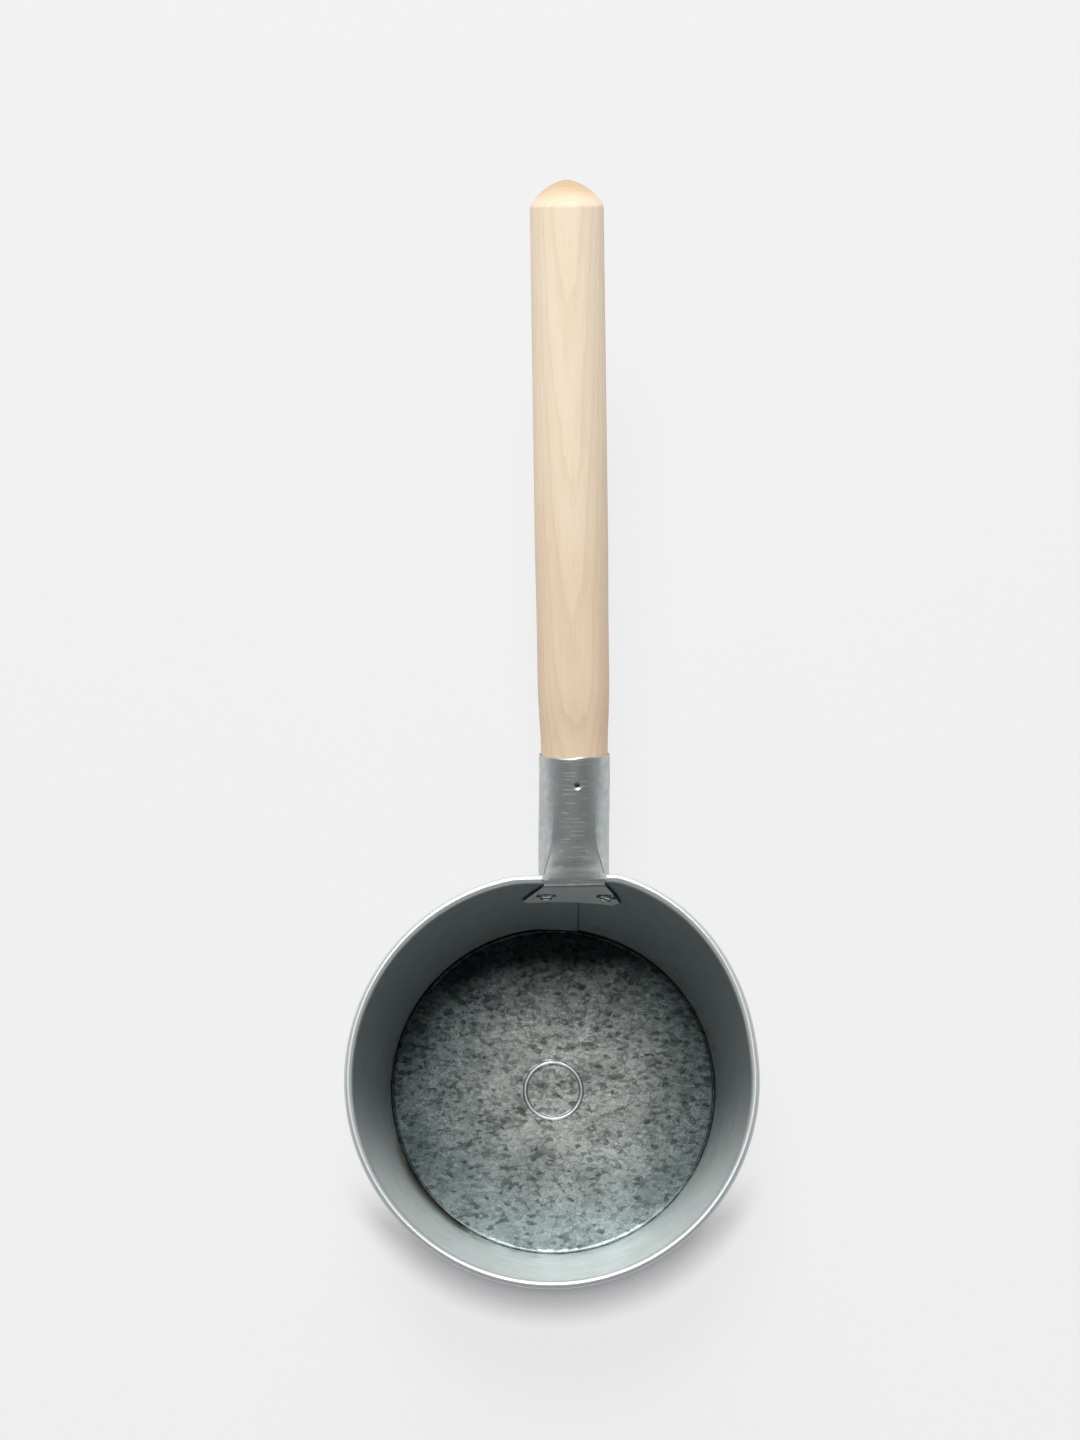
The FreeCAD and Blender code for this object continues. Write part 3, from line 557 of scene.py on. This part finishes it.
strip = np.linspace(-1, 1, 71)[:, None]
turn = np.radians(np.linspace(fold_start, fold_end, 15))[None, 1:]
space = bead + (0.8 + 0.65 * step(turn, math.radians(fold_start), math.radians(fold_end))
                - 0.12 * np.exp(-((turn - math.radians(132)) / math.radians(8)) ** 2)) * mm
strip_x = handle_x - socket_shift + neck_half * strip
fold_x = strip_x + 0 * turn
fold_z = level + space * np.sin(turn) + 0 * strip
fold_y = wall_y(fold_x, np.full(fold_x.shape, level), ring + space * np.cos(turn))
fold_points = np.stack([fold_x, fold_y, fold_z], -1)
down = np.linspace(0, 1, 70)[None, 1:]
from_left = (strip + 1) * 21.5 * mm
rounding = 5.5 * (1 - np.sqrt(1 - np.clip(1 - from_left / (5.5 * mm), 0, 1) ** 2))
tab_length = (33.5 - rounding - 7 * step(strip, 0.7, 1)) * mm
gone = down * tab_length
spread = np.where(strip < 0, 24.7 * mm, 21 * mm) - neck_half
tab_x = strip_x + strip * spread * gone / (31 * mm) + socket_shift * gone / (31 * mm)
tab_z = level + (bead + 1.45 * mm) * math.sin(math.radians(fold_end)) - gone * math.cos(lean)
dents = 0
for x in rivet_places:
    beside, above = np.abs(tab_x - x), np.abs(tab_z - rivet_level) / math.cos(lean)
    from_rivet = np.maximum(beside, above) * 0.6 + np.hypot(beside, above) * 0.4
    dents = dents + (1 - step(from_rivet, 3.3 * mm, 4.3 * mm))
inward = (1.45 - 0.6 * dents) * mm
tab_points = np.stack([tab_x, wall_y(tab_x, tab_z, wall_radius(tab_z, inward)), tab_z + 0 * tab_x], -1)

rows = tube_points.shape[1]
strip_points = np.concatenate([fold_points, tab_points], 1)
more = strip_points.shape[1]
socket_points = np.concatenate([tube_points.reshape(-1, 3), strip_points.reshape(-1, 3)])
tube_count = tube_points.shape[0] * rows
join = np.concatenate([((len(outer) + np.arange(71)) * rows + rows - 1)[:, None],
                       tube_count + np.arange(71 * more).reshape(71, more)], 1)
strip_faces = np.stack([join[:-1, :-1], join[1:, :-1], join[1:, 1:], join[:-1, 1:]], -1).reshape(-1, 4)
socket_faces = np.concatenate([grid_faces(tube_points.shape[0], rows), strip_faces])
tube_across = np.stack([socket_radius * angle + 0 * t, distance], -1).reshape(-1, 2)
strip_across = np.stack([neck_half * strip + 0 * strip_points[..., 0], -distances(strip_points)[..., 1]], -1)
socket = build_piece("socket_sheet", socket_points, socket_faces,
                     np.concatenate([tube_across, strip_across.reshape(-1, 2)]), sharp=60)
thick = socket.modifiers.new("sheet", "SOLIDIFY")
thick.thickness, thick.offset, thick.use_even_offset = sheet, -1, False

# Galvanised sheet that was rolled and hammered over a stake: smoother and shinier than the bowl, with
# short marks across its top where the zinc was bruised, pressed in and painted bright as glints, dark
# pits, painted shade lines in the creases, along the tab's edges and round the rivets' dents, and the tab
# itself paler and duller.
galvanised_socket, add = new_material("galvanised_sheet_hammered")
place = add("TexCoord").outputs["Object"]
on_sheet = add("UVMap", {"uv_map": "Sheet"})
across_sheet = add("SeparateXYZ", None, {0: on_sheet})
clouds = add("TexNoise", None, {"Vector": place, "Scale": 1 / (5 * mm), "Detail": 6.0, "Roughness": 0.64})
tint = add("ValToRGB", None, {"Fac": clouds})
tint.color_ramp.elements[0].position, tint.color_ramp.elements[1].position = 0.28, 0.72
tint.color_ramp.elements[0].color, tint.color_ramp.elements[1].color = colour("#adb4b3"), colour("#ccd2d0")
# Painted highlight: short marks across the top are painted bright as glints; the same marks are pressed in by
# the bump further down.
bruised = add("Mapping", None, {"Vector": on_sheet, "Scale": (1 / (11 * mm), 1 / (0.5 * mm), 1.0)})
bruises = add("TexNoise", None, {"Vector": bruised, "Scale": 1.0, "Detail": 0.0})
bruise = add("MapRange", smooth, {"Value": bruises, "From Min": 0.69, "From Max": 0.73})
off_middle = add("Math", {"operation": "ABSOLUTE"}, {0: across_sheet.outputs["X"]})
on_top = add("MapRange", smooth, {
    "Value": off_middle, "From Min": 3.5 * mm, "From Max": 7.5 * mm, "To Min": 0.85, "To Max": 0.0})
marks_and_glints = add("Math", {"operation": "MULTIPLY"}, {0: bruise, 1: on_top})
glinting_marks = add("Mix", in_colour, {0: marks_and_glints, 6: tint, 7: colour("#eef1f0")})
pitting = add("TexNoise", None, {"Vector": place, "Scale": 1 / (1.3 * mm), "Detail": 2.0})
pit = add("MapRange", smooth, {"Value": pitting, "From Min": 0.69, "From Max": 0.75, "To Max": 0.8})
near_rim = add("MapRange", smooth, {
    "Value": across_sheet.outputs["Y"], "From Min": 4 * mm, "From Max": 40 * mm, "To Min": 1.0,
    "To Max": 0.35})
pits = add("Math", {"operation": "MULTIPLY"}, {0: pit, 1: near_rim})
pitted = add("Mix", in_colour, {0: pits, 6: glinting_marks, 7: colour("#4b5150")})
on_tab = add("MapRange", None, {
    "Value": across_sheet.outputs["Y"], "From Min": -7 * mm, "From Max": -4 * mm, "To Min": 1.0,
    "To Max": 0.0})
# Painted shadow: dark lines along the tab's edges, round the rivets' dents, and in the creases near the rim,
# where shade falls.
by_edge = add("MapRange", smooth, {"Value": off_middle, "From Min": 13.1 * mm, "From Max": 13.4 * mm})
edge_line = add("Math", {"operation": "MULTIPLY"}, {0: by_edge, 1: on_tab})
rivet_seats = [
    (x, float(wall_y(np.array(x), np.array(rivet_level), wall_radius(rivet_level, 1 * mm))), rivet_level)
    for x in rivet_places]
rivet_heads = [add("VectorMath", {"operation": "DISTANCE"}, {0: place, 1: seat})
               for seat in rivet_seats]
nearest = add("Math", {"operation": "MINIMUM"}, {
    0: rivet_heads[0].outputs["Value"], 1: rivet_heads[1].outputs["Value"]})
off_dent = add("Math", {"operation": "SUBTRACT"}, {0: nearest, 1: 3.95 * mm})
from_dent = add("Math", {"operation": "ABSOLUTE"}, {0: off_dent})
dent_line = add("MapRange", smooth, {
    "Value": from_dent, "From Min": 0.35 * mm, "From Max": 0.95 * mm, "To Min": 0.95, "To Max": 0.0})
off_crease = add("Math", {"operation": "SUBTRACT"}, {0: off_middle, 1: socket_radius * crease_angle})
from_crease = add("Math", {"operation": "ABSOLUTE"}, {0: off_crease})
in_crease = add("MapRange", smooth, {
    "Value": from_crease, "From Min": 0.1 * mm, "From Max": 0.6 * mm, "To Min": 1.0, "To Max": 0.0})
by_rim = add("MapRange", smooth, {
    "Value": across_sheet.outputs["Y"], "From Min": 2 * mm, "From Max": 13 * mm, "To Min": 0.55,
    "To Max": 0.0})
above_fold = add("Math", {"operation": "GREATER_THAN"}, {0: across_sheet.outputs["Y"], 1: 0.2 * mm})
crease_rim = add("Math", {"operation": "MULTIPLY"}, {0: by_rim, 1: above_fold})
crease_line = add("Math", {"operation": "MULTIPLY"}, {0: in_crease, 1: crease_rim})
tab_shade_lines = add("Math", {"operation": "MAXIMUM"}, {0: edge_line, 1: dent_line})
painted_shade_lines = add("Math", {"operation": "MAXIMUM"}, {0: tab_shade_lines, 1: crease_line})
tab_rub = add("Math", {"operation": "MULTIPLY"}, {0: on_tab, 1: 0.7})
rubbed = add("Mix", in_colour, {0: tab_rub, 6: pitted, 7: colour("#e2e7e6")})
shade_lined = add("Mix", in_colour, {0: painted_shade_lines, 6: rubbed, 7: colour("#232726")})
dull = add("MapRange", None, {
    "Value": clouds, "From Min": 0.3, "From Max": 0.7, "To Min": 0.46, "To Max": 0.36})
rough = add("Mix", {"data_type": "FLOAT"}, {0: on_tab, 2: dull, 3: 0.4})
metal = add("Mix", {"data_type": "FLOAT"}, {0: on_tab, 2: 0.92, 3: 0.3})
relief = add("Bump", None, {"Strength": 0.5, "Distance": 0.1 * mm, "Height": clouds})
scored = add("Bump", {"invert": True}, {
    "Strength": 0.3, "Distance": 0.05 * mm, "Height": marks_and_glints, "Normal": relief})
zinc = add("BsdfPrincipled", None, {
    "Base Color": shade_lined, "Metallic": metal, "Roughness": rough, "Normal": scored})
add("OutputMaterial", None, {"Surface": zinc})
socket.data.materials.append(galvanised_socket)
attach(socket, "root")
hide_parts("handle_socket")

# ---------------------------------------------------------------------------------------------------
# Rivets: soft steel, set from outside. The domed head is against the wall, and the hollow end is
# rolled back into a ring against the tab.
rivet_steel, add = new_material("zinc_plated_rivet")
place = add("TexCoord").outputs["Object"]
grime = add("TexNoise", None, {"Vector": place, "Scale": 1 / (1.2 * mm), "Detail": 4.0})
tint = add("ValToRGB", None, {"Fac": grime})
tint.color_ramp.elements[0].position, tint.color_ramp.elements[1].position = 0.3, 0.7
tint.color_ramp.elements[0].color, tint.color_ramp.elements[1].color = colour("#dde1e0"), colour("#f6f8f7")
on_rivet = add("UVMap", {"uv_map": "Sheet"})
from_axis = add("SeparateXYZ", None, {0: on_rivet})
# Painted shade: the hollow inside the rolled end is painted dark.
in_hollow = add("MapRange", smooth, {
    "Value": from_axis.outputs["Y"], "From Min": 3.7 * mm, "From Max": 4.4 * mm, "To Min": 1.0,
    "To Max": 0.0})
hollow_shade = add("Mix", in_colour, {0: in_hollow, 6: tint, 7: colour("#1c1e1e")})
steel = add("BsdfPrincipled", None, {"Base Color": hollow_shade, "Metallic": 1.0, "Roughness": 0.2})
add("OutputMaterial", None, {"Surface": steel})


def lathe(name, profile, place, sides, sharp=40):
    """A turned piece: each (radius, height) of the profile goes round its own axis, as radius * (cos a,
    sin a), and the whole is then put in place by a 4 x 4 matrix."""
    turns = np.radians(np.arange(sides) * 360 / sides)[:, None]
    local = np.stack([profile[:, 0] * np.cos(turns), profile[:, 0] * np.sin(turns), profile[:, 1] + 0 * turns,
                      1 + 0 * profile[:, 0] + 0 * turns], -1)
    points = (local @ np.array(place).T)[..., :3]
    return build_piece(name, points, grid_faces(sides, len(profile), True, False), distances(points), sharp)


tip = -2.85 * mm
ring_middle, ring_half = 2.27 * mm, 0.68 * mm
head_seat, head_half, head_rise = 0.8 * mm, 4.0 * mm, 1.5 * mm
dome = (head_half ** 2 + head_rise ** 2) / (2 * head_rise)
dome_turn = math.degrees(math.asin(head_half / dome))
rivet_profile = np.concatenate([
    [(0, 0.15 * mm)], line((1.45 * mm, 0.15 * mm), (1.55 * mm, tip + ring_half), 5),
    arc((ring_middle, tip + ring_half), ring_half, 180, 360, 12),
    line((ring_middle + ring_half, tip + ring_half), (ring_middle + ring_half, -1.5 * mm), 3),
    line((2.3 * mm, -1.5 * mm), (2.3 * mm, head_seat), 3),
    line((2.3 * mm, head_seat), (head_half, head_seat), 3),
    arc((0, head_seat + head_rise - dome), dome, 90 - dome_turn, 90, 10), [(0, head_seat + head_rise)]])
for name, node, x in (("rivet_by_lap", "rivet_left", rivet_places[0]),
                      ("rivet_beside", "rivet_right", rivet_places[1])):
    y = float(wall_y(np.array(x), np.array(rivet_level), wall_radius(rivet_level)))
    azimuth = math.atan2(y, x)
    out = Vector((math.cos(azimuth) * math.cos(lean), math.sin(azimuth) * math.cos(lean), -math.sin(lean)))
    turned = Matrix.Translation((x, y, rivet_level)) @ out.to_track_quat("Z", "Y").to_matrix().to_4x4()
    rivet = lathe(name, rivet_profile, turned, 48)
    rivet.data.materials.append(rivet_steel)
    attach(rivet, "root")
    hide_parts(node)

# ---------------------------------------------------------------------------------------------------
# Handle: maple or birch, turned from one piece and sanded, left without varnish. A blunt domed end, a
# straight grip, a slight taper to the socket, and the tenon that the socket is rolled round.
tip_distance = socket_length + 253.2 * mm
tenon_start = socket_length - 43 * mm
dome_length = 12.4 * mm


def handle_radius(distance):
    """Handle's radius at a distance from the rim: 16.2 mm, less 0.25 mm eased in towards the socket, less
    1.1 mm exp(-(d/19 mm)^2.4) from the socket's mouth, times the domed end (1 - t^1.5)^0.65."""
    past = np.clip(distance - socket_length, 0, None)
    body = (16.2 * mm - 0.25 * mm * (1 - step(past, 60 * mm, 95 * mm))
            - 1.1 * mm * np.exp(-(past / (19 * mm)) ** 2.4))
    t = np.clip(1 - (tip_distance - distance) / dome_length, 0, 1)
    return body * (1 - t ** 1.5) ** 0.65


rows = np.concatenate([np.linspace(tenon_start, socket_length - 1 * mm, 8),
                       np.linspace(socket_length, tip_distance - dome_length - 0.4 * mm, 130),
                       tip_distance - dome_length * np.linspace(1, 0, 40) ** 1.6])
turns = np.radians(np.arange(0, 360, 2.5))[:, None]
out_of_round = 0.08 * mm * np.sin(2 * turns + 0.5) * np.sin(rows / (40 * mm)) * (rows < tip_distance - 1 * mm)
radius = handle_radius(rows) + out_of_round
middle = axis_start + rows[:, None] * along
wood_points = (middle + (radius * np.sin(turns))[..., None] * np.array([1, 0, 0])
               + (radius * np.cos(turns))[..., None] * upward)
wood_points = np.concatenate([np.broadcast_to(middle[:1], wood_points[:, :1].shape), wood_points], 1)
wood = build_piece("turned_wood", wood_points, grid_faces(*wood_points.shape[:2], True, False),
                   distances(wood_points), sharp=34)

# Maple, sanded and left bare: pale cream, matt, with the pointed arches of growth rings cut at a slant
# (rings 2 mm apart, from a tree's middle 45 mm below the grip), fine fibres along it, short brown pores
# and a few grey specks.
bare_wood, add = new_material("maple_bare_sanded")
place = add("TexCoord").outputs["Object"]
tilt = Matrix.Rotation(-math.asin(along[2]), 4, "X")
turned = add("Mapping", {"vector_type": "POINT"}, {
    "Vector": place, "Rotation": (-math.asin(along[2]), 0, 0), "Location": -(tilt @ Vector(axis_start))})
wandering = add("Mapping", None, {"Vector": turned, "Scale": (1 / (13 * mm), 1 / (60 * mm), 1 / (13 * mm))})
wander = add("TexNoise", None, {"Vector": wandering, "Scale": 1.0, "Detail": 3.0})
along_wood = add("SeparateXYZ", None, {0: turned})
climb = add("Math", {"operation": "MULTIPLY_ADD"}, {0: along_wood.outputs["Y"], 1: 0.028, 2: 45 * mm})
climbed = add("Math", {"operation": "ADD"}, {0: along_wood.outputs["Z"], 1: climb})
from_pith = add("CombineXYZ", None, {"X": along_wood.outputs["X"], "Y": 0.0, "Z": climbed})
ring_radius = add("VectorMath", {"operation": "LENGTH"}, {0: from_pith})
in_rings = add("Math", {"operation": "DIVIDE"}, {0: ring_radius, 1: 2.0 * mm})
uneven = add("Math", {"operation": "MULTIPLY_ADD"}, {0: wander, 1: 1.6, 2: in_rings})
in_year = add("Math", {"operation": "FRACT"}, {0: uneven})
late_wood = add("ValToRGB", None, {"Fac": in_year})
late_wood.color_ramp.elements[0].position, late_wood.color_ramp.elements[0].color = 0.55, (0, 0, 0, 1)
late_wood.color_ramp.elements[1].position, late_wood.color_ramp.elements[1].color = 0.93, (1, 1, 1, 1)
year_end = late_wood.color_ramp.elements.new(1.0)
year_end.color = (0.1, 0.1, 0.1, 1)
fibre_lie = add("Mapping", None, {"Vector": turned, "Scale": (1 / (0.7 * mm), 1 / (16 * mm), 1 / (0.7 * mm))})
fibres = add("TexNoise", None, {"Vector": fibre_lie, "Scale": 1.0, "Detail": 4.0, "Roughness": 0.6})
bands = add("Mapping", None, {"Vector": turned, "Scale": (1 / (9 * mm), 1 / (70 * mm), 1 / (9 * mm))})
shade = add("TexNoise", None, {"Vector": bands, "Scale": 1.0, "Detail": 3.0})
blend = add("Mix", {"data_type": "FLOAT"}, {0: 0.45, 2: shade, 3: fibres})
tint = add("ValToRGB", None, {"Fac": blend})
tint.color_ramp.elements[0].position, tint.color_ramp.elements[1].position = 0.33, 0.67
tint.color_ramp.elements[0].color, tint.color_ramp.elements[1].color = colour("#ead5b9"), colour("#f3e3cd")
arch = add("Math", {"operation": "MULTIPLY"}, {0: late_wood, 1: 0.16})
ringed = add("Mix", in_colour, {0: arch, 6: tint, 7: colour("#c9a47a")})
pore_lie = add("Mapping", None, {"Vector": turned, "Scale": (1 / (0.5 * mm), 1 / (2.6 * mm), 1 / (0.5 * mm))})
pores = add("TexNoise", None, {"Vector": pore_lie, "Scale": 1.0, "Detail": 1.0})
pore = add("MapRange", smooth, {"Value": pores, "From Min": 0.68, "From Max": 0.8, "To Max": 0.3})
pored = add("Mix", in_colour, {0: pore, 6: ringed, 7: colour("#b08d68")})
dirt = add("TexNoise", None, {"Vector": place, "Scale": 1 / (4.5 * mm), "Detail": 3.0, "Roughness": 0.7})
speck = add("MapRange", smooth, {"Value": dirt, "From Min": 0.72, "From Max": 0.78, "To Max": 0.35})
specked = add("Mix", in_colour, {0: speck, 6: pored, 7: colour("#9a9a86")})
# Darker towards the socket.
held = add("MapRange", smooth, {
    "Value": along_wood.outputs["Y"], "From Min": 50 * mm, "From Max": 230 * mm, "To Min": 0.5,
    "To Max": 0.0})
darker_to_socket = add("Mix", {"data_type": "RGBA", "blend_type": "MULTIPLY"}, {
    0: held, 6: specked, 7: colour("#ecdccd")})
# Darker over the domed end: end grain, and painted shade that tones down the lamps' glare on it.
end_grain_and_shade = add("MapRange", smooth, {
    "Value": along_wood.outputs["Y"], "From Min": tip_distance - 14 * mm, "From Max": tip_distance - 1 * mm})
end_darkened = add("Mix", {"data_type": "RGBA", "blend_type": "MULTIPLY"}, {
    0: end_grain_and_shade, 6: darker_to_socket, 7: colour("#c9bfb0")})
relief = add("Bump", None, {"Strength": 0.25, "Distance": 0.06 * mm, "Height": fibres})
timber = add("BsdfPrincipled", None, {
    "Base Color": end_darkened, "Roughness": 0.7, "Specular IOR Level": 0.25, "Normal": relief})
add("OutputMaterial", None, {"Surface": timber})
wood.data.materials.append(bare_wood)
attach(wood, "root")
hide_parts("wooden_handle")

# ---------------------------------------------------------------------------------------------------
# Nail: steel, driven through the socket's top into the tenon, its head punched below the sheet.
nail_steel, add = new_material("dark_steel_nail")
place = add("TexCoord").outputs["Object"]
scale = add("TexNoise", None, {"Vector": place, "Scale": 1 / (0.7 * mm), "Detail": 3.0})
tint = add("ValToRGB", None, {"Fac": scale})
tint.color_ramp.elements[0].color, tint.color_ramp.elements[1].color = colour("#2e3030"), colour("#5a5d5c")
steel = add("BsdfPrincipled", None, {"Base Color": tint, "Metallic": 0.9, "Roughness": 0.5})
add("OutputMaterial", None, {"Surface": steel})
head_top = socket_radius - 0.75 * mm
nail_profile = np.concatenate([
    [(0, head_top - 20 * mm)], line((1.1 * mm, head_top - 16 * mm), (1.1 * mm, head_top - 0.5 * mm), 6),
    line((1.1 * mm, head_top - 0.5 * mm), (1.25 * mm, head_top - 0.45 * mm), 2),
    arc((1.0 * mm, head_top - 0.25 * mm), 0.25 * mm, -20, 90, 5), [(0, head_top + 0.05 * mm)]])
centre = axis_start + nail_distance * along
centre[0] -= socket_shift * float(step(np.array(-nail_distance), -socket_length, 0))
driven = Vector(math.cos(nail_turn) * upward + math.sin(nail_turn) * np.array([1, 0, 0]))
turned = Matrix.Translation(centre) @ driven.to_track_quat("Z", "Y").to_matrix().to_4x4()
nail = lathe("nail_in_socket", nail_profile, turned, 32)
nail.data.materials.append(nail_steel)
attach(nail, "root")
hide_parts("handle_nail")

# ---------------------------------------------------------------------------------------------------
# Studio: a plain pale floor that the scoop stands on, a soft lamp over the handle, a wide low one behind
# it, and a dim even surround. The camera looks down into the bowl.
floor_mesh = bpy.data.meshes.new("studio_floor")
floor_mesh.from_pydata([(-6, -6, 0), (6, -6, 0), (6, 6, 0), (-6, 6, 0)], [], [(0, 1, 2, 3)])
floor = bpy.data.objects.new("studio_floor", floor_mesh)
bpy.context.scene.collection.objects.link(floor)
floor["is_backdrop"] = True
# White paper: lit as it is, and for the camera nine tenths of it at its own even tone. That tone goes dark
# only where the bowl shades it: in a crescent before it, and close round its foot.
paper, add = new_material("studio_paper")
matt = add("BsdfDiffuse", None, {"Color": colour("#efefef")})
seen = add("LightPath")
shaded = add("AmbientOcclusion", {"samples": 8}, {
    "Color": (1, 1, 1, 1), "Distance": 34 * mm, "Normal": (0.0, 0.85, 0.53)})
open_share = add("Math", {"operation": "POWER"}, {0: shaded.outputs["AO"], 1: 4.2})
touching = add("AmbientOcclusion", {"samples": 8}, {"Color": (1, 1, 1, 1), "Distance": 22 * mm})
apart_share = add("Math", {"operation": "POWER"}, {0: touching.outputs["AO"], 1: 3.0})
place = add("TexCoord").outputs["Object"]
apart = add("SeparateXYZ", None, {0: place})
in_front = add("MapRange", smooth, {"Value": apart.outputs["Y"], "From Min": -90 * mm, "From Max": -35 * mm})
from_middle = add("VectorMath", {"operation": "LENGTH"}, {0: place})
past_foot = add("MapRange", smooth, {"Value": from_middle, "From Min": 80 * mm, "From Max": 96 * mm})
clear = add("Math", {"operation": "MAXIMUM"}, {0: apart_share, 1: past_foot})
crescent = add("Math", {"operation": "MAXIMUM"}, {0: open_share, 1: in_front})
lit = add("Math", {"operation": "MULTIPLY"}, {0: crescent, 1: clear})
even_share = add("Math", {"operation": "MAXIMUM"}, {0: lit, 1: seen.outputs["Is Glossy Ray"]})
near = add("Mix", in_colour, {0: even_share, 6: colour("#50505a"), 7: colour("#efefef")})
even = add("Emission", None, {"Color": near, "Strength": 1.0})
# Painted reflection: in metal's reflections the paper shows its even tone, as a painted pool of light that
# fades with distance from the scoop.
from_scoop = add("VectorMath", {"operation": "DISTANCE"}, {0: place, 1: (0.0, 100 * mm, 0.0)})
pool_edge = add("MapRange", smooth, {
    "Value": from_scoop, "From Min": 0.14, "From Max": 0.55, "To Min": 1.0, "To Max": 0.32})
mirrored = add("Math", {"operation": "MULTIPLY"}, {0: seen.outputs["Is Glossy Ray"], 1: pool_edge})
either = add("Math", {"operation": "MAXIMUM"}, {0: seen.outputs["Is Camera Ray"], 1: mirrored})
most = add("Math", {"operation": "MULTIPLY"}, {0: either, 1: 0.9})
paper_tone = add("MixShader", None, {0: most, 1: matt, 2: even})
add("OutputMaterial", None, {"Surface": paper_tone})
floor_mesh.materials.append(paper)

world = bpy.data.worlds.new("studio_surround")
bpy.context.scene.world = world
world.use_nodes = True
world.node_tree.nodes.clear()
add = partial(add_node, world.node_tree)
toward = add("TexCoord")
sky_parts = add("SeparateXYZ", None, {0: toward.outputs["Generated"]})
sky_level = add("MapRange", smooth, {
    "Value": sky_parts.outputs["Z"], "From Min": 0.35, "From Max": 0.85, "To Min": 0.42, "To Max": 0.06})
surround = add("Background", None, {"Color": colour("#f4f5f7"), "Strength": sky_level})
add("OutputWorld", None, {"Surface": surround})

for name, size, toward, away, power in (
        ("softbox_over_handle", (0.9, 0.85), (-0.05, 0.41, 0.91), 3.0, 60),
        ("softbox_low_behind", (2.2, 1.3), (-0.04, 0.82, 0.56), 3.0, 50)):
    lamp_data = bpy.data.lights.new(name, "AREA")
    lamp_data.shape, lamp_data.size, lamp_data.size_y, lamp_data.energy = "RECTANGLE", *size, power
    lamp = bpy.data.objects.new(name, lamp_data)
    bpy.context.scene.collection.objects.link(lamp)
    aim = Vector(toward).normalized()
    lamp.location = aim * away
    lamp.rotation_mode = "QUATERNION"
    lamp.rotation_quaternion = aim.to_track_quat("Z", "Y")

camera_data = bpy.data.cameras.new("camera")
camera_data.sensor_width, camera_data.sensor_fit, camera_data.lens = 36, "AUTO", 100
camera = bpy.data.objects.new("camera", camera_data)
bpy.context.scene.collection.objects.link(camera)
bpy.context.scene.camera = camera
forward = Vector((0, 0.14333, -0.98968))
right = Vector((0.99989, -0.01479, -0.00214))
camera.matrix_world = Matrix.Translation((-0.00358, -0.09563, 1.86065)) @ Matrix(
    (right, right.cross(forward), -forward)).transposed().to_4x4()
bpy.context.scene.view_settings.view_transform = "Standard"

low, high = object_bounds()
